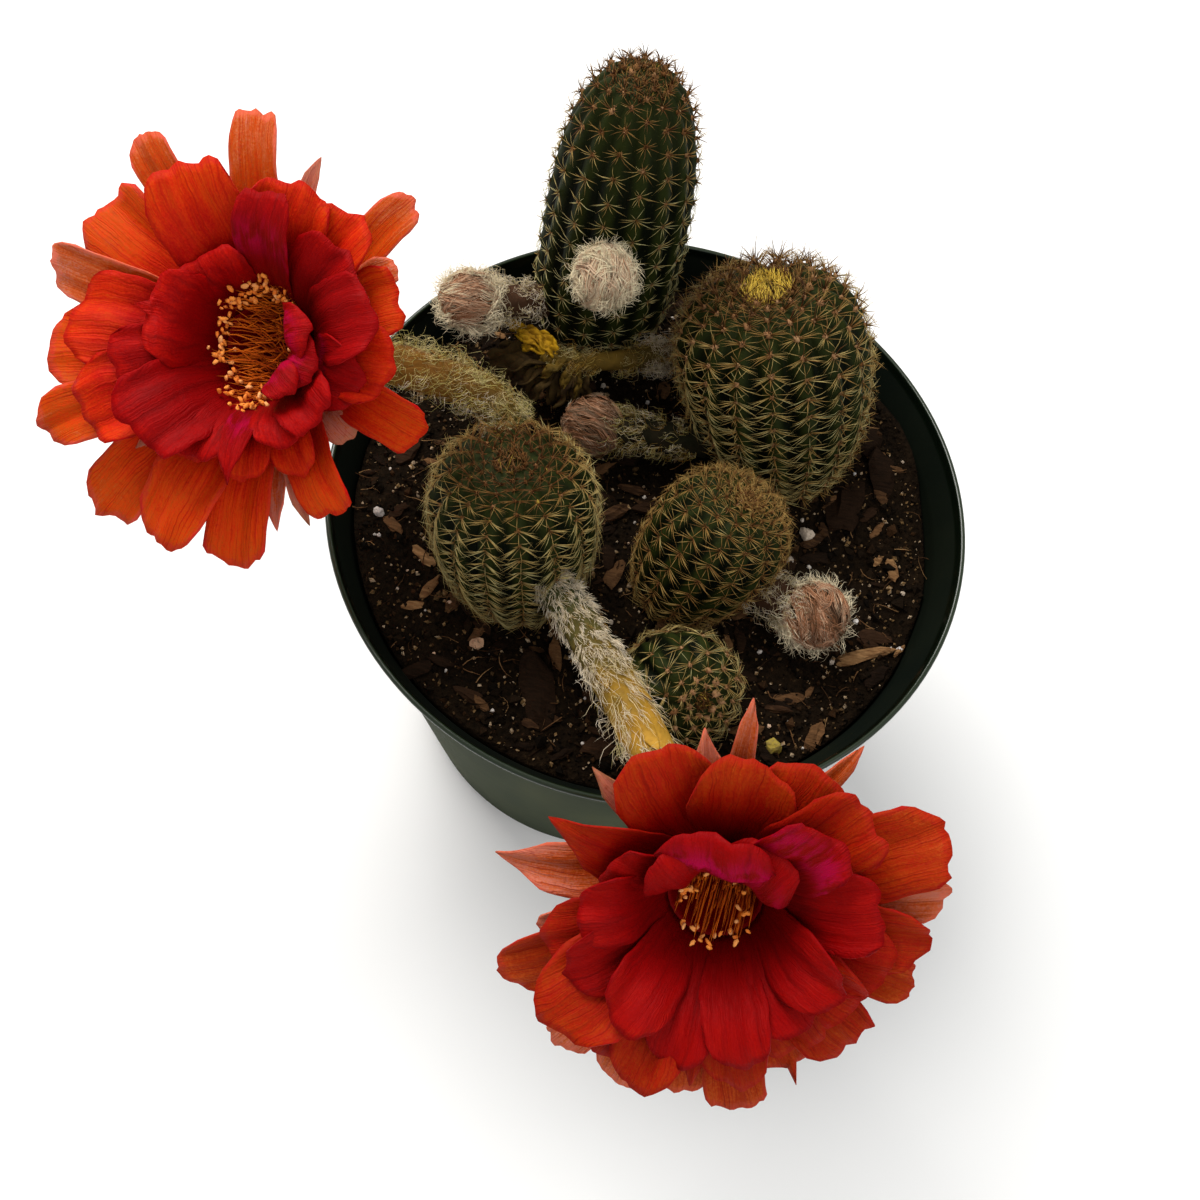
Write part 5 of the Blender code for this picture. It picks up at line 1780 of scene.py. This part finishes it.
def petals(*rows: tuple) -> tuple[Blade, ...]:
    """Petals from rows of a clock angle, reach, width, tone, end, painted sheen and the painted sheen's
    place.
    """
    return tuple(Blade(*row) for row in rows)


@dataclass(frozen=True)
class Flower:
    """An open flower on its woolly tube.

    Its bed of stamens fills an ellipse, and leans over from root_clock's side. Slim thins the tube past its
    first radius, and stagger raises and lowers the petals of a ring by turns, in degrees.
    """

    name: str
    centre: Point
    facing: Point
    route: Route
    radii: Radii
    blades: dict[Ring, tuple[Blade, ...]]
    coats: tuple[Fleece, ...]
    skin: TubeSkin
    scale_count: int
    longest_scale: float
    stamens: int
    stamen_wide: float
    stamen_tall: float
    root_clock: float
    anther_share: float
    slim: float
    seed: int
    stagger: float = 2.5
    thickness: float = 0.32

    def axes(self) -> Axes:
        """The way the flower faces, its twelve o'clock and its three o'clock."""
        facing = unit(np.array(self.facing))
        twelve = unit(np.array((0.0, 1.0, 0.0)) - facing * facing[1])
        return facing, twelve, np.cross(twelve, facing)

    def build_petals(self, material: Material) -> None:
        """Every petal and sepal, given its thickness, and the throat's cup."""
        draw, centre, axes = np.random.default_rng(self.seed), np.array(self.centre), self.axes()
        made = []
        for ring, blades in self.blades.items():
            for index, blade in enumerate(blades):
                made.append(blade.shape(centre, axes, ring, self.stagger * (-1) ** index, draw))
        corolla = thickened(join(self.name + "_corolla", made), self.thickness)
        settle(corolla, material, self.name + "_petals")
        facing, twelve, three = axes

        def place(u: Array, v: Array) -> Array:
            row = v * (len(CUP) - 1)
            radius, height = (np.interp(row, range(len(CUP)), column)[:, None] for column in zip(*CUP))
            return centre + radius * around(TURN * u, three, twelve) + height * facing

        cup = shaped_grid(self.name + "_cup", 48, 27, place)
        add_layer(cup, "tone", 0.12)
        add_layer(cup, "sheen", 0.0)
        settle(cup, material, self.name + "_petals")

    def build_tube(self, hair: Material) -> None:
        """The tube from the stem to the throat, its scales and its wool."""
        facing = self.axes()[0]
        start = 1.25 * np.array(self.route[0]) - 0.25 * np.array(self.route[1])
        route = (tuple(start), *self.route, tuple(np.array(self.centre) - 18.1 * facing))
        radii = (0.9 * self.radii[0], 0.85 * self.radii[0], *(self.slim * r for r in self.radii[1:]), 4.9)
        skin, node = self.skin.material(), self.name + "_tube"
        settle(tube(self.name + "_stalk", route, radii, 40, 80), skin, node)
        count, longest = self.scale_count, self.longest_scale
        bracts = scales(self.name + "_scales", route, radii, count, longest, self.seed + 1)
        settle(bracts, skin, node)
        wool = fleece(self.name + "_stalk_wool", self.coats, route, radii, self.seed + 3)
        settle(wool, hair, node)

    def build_stamens(self, thread: Material, pollen: Material) -> None:
        """A bed of filaments that lean over from one side of the throat, and the anthers at their ends.

        Args:
            thread: The finish of the filaments.
            pollen: The finish of the anthers.
        """
        draw, node = np.random.default_rng(self.seed + 9), self.name + "_stamens"
        facing, twelve, three = self.axes()
        centre, count = np.array(self.centre), self.stamens
        source = around(np.radians(self.root_clock), twelve, three)
        angle = draw.uniform(0, TURN, count)
        share = np.sqrt(draw.uniform(0.05, 1.0, count))
        share = np.where(draw.uniform(0, 1, count) < 0.35, draw.uniform(0.80, 1.08, count), share)
        flat = share[:, None] * around(angle, self.stamen_tall * twelve, self.stamen_wide * three)
        height = -2.6 + 4.4 * share**2 + draw.normal(0, 0.6, count)
        tip = centre + flat + facing * height[:, None]
        over = flat @ source
        base = centre + flat + source * (0.55 * self.stamen_wide - over)[:, None]
        base -= facing * draw.uniform(5.5, 8.0, (count, 1))
        root = centre + 0.25 * (base - centre) - 13.6 * facing
        paths = np.empty((count, len(FILAMENT_STEPS), 3))
        paths[:, 0], paths[:, 1] = root, base
        for knot, step in enumerate(FILAMENT_STEPS[2:], 2):
            along = (step - FILAMENT_STEPS[1]) / (1 - FILAMENT_STEPS[1])
            sag = facing * (-6.5 * (1 - along) ** 1.5 * along)
            stray = facing * draw.normal(0, 0.60, (count, 1)) + twelve * draw.normal(0, 0.90, (count, 1))
            paths[:, knot] = base * (1 - along) + tip * along + sag + stray
        paths[:, -1] = tip
        tones = draw.uniform(0, 1, count) ** 0.9
        threads = strands(self.name + "_filaments", paths, np.full(count, FILAMENT_RADIUS), tones, 0.3)
        settle(threads, thread, node)
        often = np.where(over < 0.35 * self.stamen_wide, self.anther_share, 0.4 * self.anther_share)
        often = often * (0.35 + 0.65 * smooth(share, 0.6, 0.9))
        ends = tip[(share > 0.62) & (draw.uniform(0, 1, count) < often)] + 0.2 * facing
        sizes = draw.uniform(0.36, 0.56, (len(ends), 1)) * np.array((0.85, 0.7, 1.5))
        knobs = grains(self.name + "_anthers", ends, sizes, draw.uniform(0, 1, len(ends)), draw, 2)
        shade(knobs)
        settle(knobs, pollen, node)


# The section of the throat's cup from the middle of its foot, as radii and heights over the flower's centre
CUP = (
    (0, -18), (4.9, -18), (6.4, -14), (7.8, -10), (9.2, -5.5),
    (8.6, -5.2), (6.9, -9), (5.1, -12.5), (3.3, -15.4), (0, -15.4),
)
# The points of a filament from its root, its base and so on to its tip, as shares of its length
FILAMENT_STEPS, FILAMENT_RADIUS = (0.0, 0.16, 0.40, 0.60, 0.80, 1.0), 0.22
# Each flower's centre, facing, tube route and radii, petals, wool, skin, scales, stamens and seed
FLOWERS = (
    Flower(
        "flower_left", (-80.5, -17, 165), (-0.08, -0.55, 0.83),
        ((-35.2, -1.4, 131.5), (-40.8, 2.4, 135.0), (-49, 3, 137.2), (-59.5, 2, 140), (-71, -0.5, 143)),
        (4.6, 6.0, 6.3, 6.4, 6.2),
        {
            Ring.SEPAL: petals(
                (322, 44, 8.8, 0.74), (350, 44, 9.8, 0.75), (12, 37, 4.8, 0.96, POINTED), (40, 40, 8.5, 0.74),
                (53, 31, 6.5, 0.82), (127, 25, 7.5, 0.94), (156, 36, 5.5, 0.94, POINTED),
                (168, 36, 6.0, 0.90, POINTED), (222, 33, 3.0, 0.92, POINTED),
            ),
            Ring.OUTER: petals(
                (65, 30, 13, 0.52, BLUNT), (110, 36, 10, 0.60, BLUNT), (146, 36, 10.5, 0.60, BLUNT),
                (179, 43, 12, 0.60, BLUNT), (198, 43, 14.5, 0.64), (217, 46, 13, 0.66, BLUNT),
                (240, 45, 11.5, 0.70), (260, 42, 16.5, 0.64), (282, 42, 10.5, 0.76),
                (300, 40, 16.5, 0.66, BLUNT),
            ),
            Ring.MIDDLE: petals(
                (14, 31, 15, 0.44, BLUNT), (36, 32, 14, 0.44), (91, 30, 15, 0.42, BLUNT), (150, 27, 9, 0.44),
                (173, 27, 9, 0.40), (202, 26, 14, 0.40), (238, 36, 17, 0.44), (269, 35, 18, 0.42, BLUNT),
                (333, 34, 18, 0.52, BLUNT),
            ),
            Ring.INNER: petals(
                (8, 30, 11, 0.08, BLUNT, 0.45, 0.66), (46, 28, 15, 0.10, BLUNT), (72, 31, 15, 0.06, BLUNT),
                (101, 27, 14, 0.06, ROUND, 0.3), (124, 24, 12, 0.14, BLUNT), (148, 23, 11, 0.18),
                (174, 30, 6, 0.12, POINTED, 0.55), (196, 26, 13, 0.18), (219, 29, 17, 0.12, BLUNT),
                (246, 27, 16, 0.18, BLUNT), (280, 21, 18, 0.26, BLUNT), (322, 19, 15, 0.26, BLUNT),
            ),
            Ring.HOOD: petals(
                (74, 17, 12, 0.10, ROUND, 0.6, 0.74), (100, 18, 12, 0.08, ROUND, 0.7, 0.74),
                (124, 17, 9, 0.08, ROUND, 0.5, 0.72),
            ),
        },
        (
            Fleece(0.05, 0.98, 95, 7, 6.5, 0.10, 0.5, (0.66, 0.92)),
            Fleece(0.05, 0.98, 34, 6, 6.0, 0.25, 0.9, (0.40, 0.62)),
            Fleece(0.10, 0.98, 50, 7, 4.6, 0.9, 1.7, (0.30, 0.50), (0.1, 0.75, 0.65), 0.05),
            Fleece(0.15, 0.98, 55, 8, 5.5, 0.3, 0.9, (0.35, 0.70), (0.1, 0.1, 1.0), 0.05),
            Fleece(0.02, 0.98, 42, 7, 4.4, 0.7, 1.2, (0.0, 0.2), (-0.3, -0.8, -0.2), 0.05),
            Fleece(0.0, 0.28, 35, 8, 3.4, 1.0, 1.7, (0.25, 0.5)),
        ),
        GOLDEN_SKIN, 26, 9.0, 330, 8.2, 12.0, 88.0, 0.85, 0.70, 41,
    ),
    Flower(
        "flower_front", (25, -98, 145), (-0.1, -0.6, 0.79),
        ((-16.2, -33.2, 120), (-8, -42.5, 121.8), (0.4, -53, 123.8), (10.5, -66, 125), (20.5, -79.5, 126.6)),
        (4.6, 5.8, 6.2, 6.4, 6.0),
        {
            Ring.SEPAL: petals(
                (1, 39, 5, 0.84, POINTED), (32, 39, 5, 0.80, POINTED), (74, 40, 10, 0.86),
                (215, 42, 9, 0.86, BLUNT), (252, 32, 6, 0.94), (271, 41, 11, 0.88, POINTED),
                (311, 33, 6, 0.98, POINTED), (348, 32, 7.8, 0.90, POINTED),
            ),
            Ring.OUTER: petals(
                (58, 42, 15, 0.58, BLUNT), (64, 40, 11, 0.44, BLUNT), (86, 37, 13, 0.54),
                (102, 37, 9, 0.66, BLUNT), (125, 34, 14, 0.58, BLUNT), (146, 34, 13, 0.62),
                (164, 38, 11, 0.66, BLUNT), (182, 38, 12, 0.70), (199, 39, 11, 0.80), (240, 42, 12, 0.60),
            ),
            Ring.MIDDLE: petals(
                (4, 32, 18, 0.54), (26, 33, 18, 0.50, BLUNT), (41, 35, 15, 0.44, BLUNT), (94, 32, 14, 0.44),
                (112, 30, 16, 0.44), (138, 30, 15, 0.48), (162, 32, 12, 0.50), (178, 33, 11, 0.46, POINTED),
                (196, 35, 13, 0.50), (210, 35, 15, 0.46), (229, 36, 18, 0.48), (250, 31, 14, 0.42),
                (296, 35, 13, 0.44, POINTED), (333, 33, 19, 0.56),
            ),
            Ring.INNER: petals(
                (37, 31, 14, 0.16, BLUNT, 0.7, 0.82), (70, 31, 14, 0.18, BLUNT), (104, 27, 14, 0.22),
                (130, 26, 13, 0.20), (157, 28, 12, 0.22), (187, 29, 12, 0.20), (214, 27, 13, 0.22),
                (240, 29, 14, 0.24), (268, 26, 13, 0.22), (291, 22, 13, 0.26, BLUNT),
            ),
            Ring.HOOD: petals(
                (354, 22, 20, 0.12, BLUNT, 0.95, 0.72), (28, 21, 13, 0.14, BLUNT, 0.3, 0.70),
                (316, 19, 13, 0.14),
            ),
        },
        (
            Fleece(0.05, 0.50, 170, 8, 3.2, 1.2, 0.10, (0.0, 0.16), None, 0.07),
            Fleece(0.05, 0.52, 110, 8, 3.4, 0.45, 0.12, (0.0, 0.2), (0.0, 0.2, 1.0), 0.06),
            Fleece(0.05, 0.62, 40, 8, 2.4, 1.0, 0.3, (0.6, 0.85)),
            Fleece(0.0, 0.14, 24, 7, 2.0, 1.6, 0.2, (0.05, 0.25)),
            Fleece(0.45, 0.98, 75, 7, 7.0, 0.22, 0.35, (0.08, 0.45)),
            Fleece(0.42, 0.96, 75, 8, 6.0, 0.35, 0.20, (0.0, 0.35), (0.0, 0.3, 1.0), 0.05),
            Fleece(0.40, 0.98, 34, 8, 5.5, 0.9, 0.8, (0.0, 0.2), (-0.9, -0.3, 0.0)),
        ),
        YELLOW_SKIN, 30, 14.0, 180, 6.4, 6.6, 10.0, 0.36, 0.74, 42,
    ),
)


@dataclass(frozen=True)
class SpentFlower:
    """The withered flower: a shrunken woolly tube, two dry yellow lobes and a ragged hanging corolla."""

    route: Route = (
        (6, 37.5, 116), (-2.5, 37, 118.5), (-12, 32, 120), (-22, 29, 119), (-31, 30, 116.5),
    )
    radii: Radii = (2.6, 3.0, 2.5, 2.1, 2.0)
    lobes: tuple = (
        ((-31.0, 30.0, 118.5), (-43.5, 36.0, 117.5), 2.8),
        ((-31.0, 29.5, 118.0), (-41.0, 33.0, 118.5), 3.4),
        ((-30.0, 29.0, 118.0), (-36.0, 33.5, 119.5), 3.6),
        ((-32.0, 29.5, 117.5), (-38.5, 30.5, 117.0), 3.0),
    )
    olive: tuple = (
        ((-27.0, 29.5, 118.5), (-33.0, 25.5, 114.0), 5.5),
        ((-24.5, 28.5, 118.0), (-25.0, 23.5, 110.5), 5.0),
    )
    rags: tuple = (
        ((-32.0, 29.0, 117.0), (-47.0, 26.5, 112.0), 7.5),
        ((-31.0, 28.5, 116.0), (-43.0, 22.5, 109.0), 7.0),
        ((-31.0, 28.5, 116.5), (-44.5, 30.0, 112.5), 6.5),
        ((-29.0, 28.0, 116.0), (-36.0, 21.5, 107.5), 6.5),
        ((-26.0, 28.0, 116.5), (-28.5, 21.5, 107.5), 6.0),
        ((-23.0, 27.5, 117.5), (-22.0, 22.5, 108.5), 5.0),
    )
    seed: int = 61

    def rag(self, start: Point, end: Point, width: float, draw: Random) -> Piece:
        """A crumpled dry petal.

        Args:
            start: Where it starts.
            end: Where it ends.
            width: How wide it is.
            draw: The source of random numbers.

        Returns:
            The petal as a sheet without thickness.
        """
        a, b = np.array(start), np.array(end)
        side, lift = across_ways(unit(b - a))
        phases = draw.uniform(0, TURN, 4)

        def place(u: Array, v: Array) -> Array:
            u = 2 * u - 1
            half = 0.5 * width * np.sin(math.pi * np.clip(0.12 + 0.78 * v, 0, 1)) ** 0.7
            half = half * (1 + 0.15 * np.sin(13 * v + phases[0]))
            crumple = 0.9 * np.sin(5 * u + phases[1]) * v + 0.6 * np.sin(11 * v + 4 * u + phases[2])
            crumple += 1.1 * u * u
            crumple += 0.35 * np.sin(17 * v - 9 * u + phases[3]) + 0.25 * np.sin(23 * u + 19 * v)
            bow = 1.4 * np.sin(math.pi * v)
            end = v * (1 - 0.10 * np.abs(np.sin(9 * u + phases[0])) - 0.06 * np.sin(23 * u + phases[2]))
            return a + (b - a) * end[:, None] + side * (u * half)[:, None] + lift * (crumple + bow)[:, None]

        return shaped_grid("rag", 12, 18, place, weld=False)

    def build(self, hair: Material) -> None:
        """Builds the tube, flaps, lobes, rags and wool."""
        draw, slot, node = np.random.default_rng(self.seed), "withered", "spent_flower"
        yellow, olive, brown = YELLOW_FLESH.material(), OLIVE_FLESH.material(), BROWN_FLESH.material()
        settle(tube("spent_flower_tube", self.route, self.radii, 30, 50), olive, node)
        flaps = [flap for flap in self.olive for _ in range(2)]
        rows = (flaps, self.lobes, self.rags)
        kinds = zip(("flaps", "lobes", "rags"), rows, (0.4, 0.5, 0.4), (olive, yellow, brown))
        for name, sheets, thickness, finish in kinds:
            made = join("spent_flower_" + name, [self.rag(*sheet, draw) for sheet in sheets])
            settle(thickened(made, thickness), finish, node)
        coats = (
            Fleece(0.02, 0.38, 105, 8, 4.8, 1.3, 0.8, (0.0, 0.18)),
            Fleece(0.20, 0.98, 44, 7, 4.2, 0.6, 0.9, (0.60, 0.85)),
            Fleece(0.30, 1.0, 40, 6, 3.8, 1.0, 1.0, (0.28, 0.50), None, 0.05),
        )
        settle(fleece("spent_flower_wool", coats, self.route, self.radii, self.seed), hair, node)


YELLOW_FLESH = Flesh("withered_yellow", (0.46, 0.26, 0.008), (0.24, 0.12, 0.006), 0.8)
OLIVE_FLESH = Flesh("withered_olive", (0.120, 0.070, 0.010), (0.045, 0.030, 0.006), 0.85)
BROWN_FLESH = Flesh("withered_brown", (0.016, 0.0085, 0.0035), (0.055, 0.033, 0.009), 0.9)
SPENT = SpentFlower()
# What grows from the stems: the root and the radius that spines keep out of
GROWTHS = (
    *((bud.root, bud.neck + 1.5) for bud in BUDS),
    *((flower.route[0], 6.6) for flower in FLOWERS),
    (SPENT.route[0], 5.0),
)


@dataclass(frozen=True)
class Studio:
    """A plain pale floor, soft light and the camera, which stands where the photograph was taken from."""

    place: Point = (-6.4, -140.5, 351.1)
    elevation: float = 65.1
    roll: float = -12.5
    lens: float = 34.65
    floor: Colour = (0.86, 0.86, 0.85)

    def camera(self) -> None:
        """Makes the camera."""
        tilt, roll = math.radians(self.elevation), math.radians(self.roll)
        forward = Vector((0, math.cos(tilt), -math.sin(tilt)))
        right = Vector((1, 0, 0))
        down = forward.cross(right)
        across = math.cos(roll) * right + math.sin(roll) * down
        below = math.cos(roll) * down - math.sin(roll) * right
        data = bpy.data.cameras.new("camera")
        data.lens = self.lens
        data.sensor_width = 36.0
        data.clip_start = 0.01
        camera = bpy.data.objects.new("camera", data)
        bpy.context.scene.collection.objects.link(camera)
        turn = Matrix((across, -below, -forward)).transposed().to_4x4()
        turn.translation = Vector(self.place) * MM
        camera.matrix_world = turn
        bpy.context.scene.camera = camera

    def light(self, name: str, place: Point, size: float, power: float, colour: Colour) -> None:
        """A square soft light that looks at the plant."""
        data = bpy.data.lights.new(name, "AREA")
        data.size = size
        data.energy = power
        data.color = colour
        lamp = bpy.data.objects.new(name, data)
        lamp.location = place
        lamp.rotation_euler = (Vector((0, 0, 0.12)) - Vector(place)).to_track_quat("-Z", "Y").to_euler()
        bpy.context.scene.collection.objects.link(lamp)

    def build(self) -> None:
        """Makes the camera, the floor, the lights and the surrounding glow."""
        self.camera()
        bpy.ops.object.select_all(action="DESELECT")
        bpy.ops.mesh.primitive_plane_add(size=6.0, location=(0, 0, 0))
        floor = bpy.context.object
        floor.name = "floor"
        graph = Graph("floor")
        tint = graph.mix(graph.noise(6.0, 2.0) * 0.06, self.floor, (0.80, 0.80, 0.79))
        floor.data.materials.append(graph.finish(Base_Color=tint, Roughness=0.8))
        self.light("key", (-0.45, 0.45, 0.95), 0.6, 14.0, (1.0, 0.98, 0.95))
        self.light("fill", (0.6, -0.6, 0.9), 1.2, 6.0, (0.96, 0.98, 1.0))
        world = bpy.data.worlds.new("studio")
        world.use_nodes = True
        world.node_tree.nodes["Background"].inputs[0].default_value = (1.0, 1.0, 1.0, 1.0)
        world.node_tree.nodes["Background"].inputs[1].default_value = 0.50
        bpy.context.scene.world = world
        bpy.context.scene.view_settings.view_transform = "Standard"


def main() -> None:
    """Builds the studio and every piece of the plant, in order."""
    logging.basicConfig(level=logging.INFO, format="%(message)s")
    Studio().build()
    pot = Pot()
    pot.build()
    Soil().build(pot)
    skin, spines, areoles = Skin().material(), SPINES.material(), AREOLES.material()
    for stem in STEMS:
        stem.build(skin, spines, areoles)
    wool, hair = WOOL.material(), TUBE_HAIR.material()
    for bud in BUDS:
        bud.build(wool, hair)
    SPENT.build(hair)

    thread, pollen = FILAMENTS.material(), Anther().material()
    # The left flower gets the painted lit petals, the front flower the painted shaded ones
    for flower, petal in zip(FLOWERS, (LIT_PETAL, SHADED_PETAL)):
        flower.build_tube(hair)
        flower.build_petals(petal.material())
        flower.build_stamens(thread, pollen)


if __name__ == "__main__":
    main()
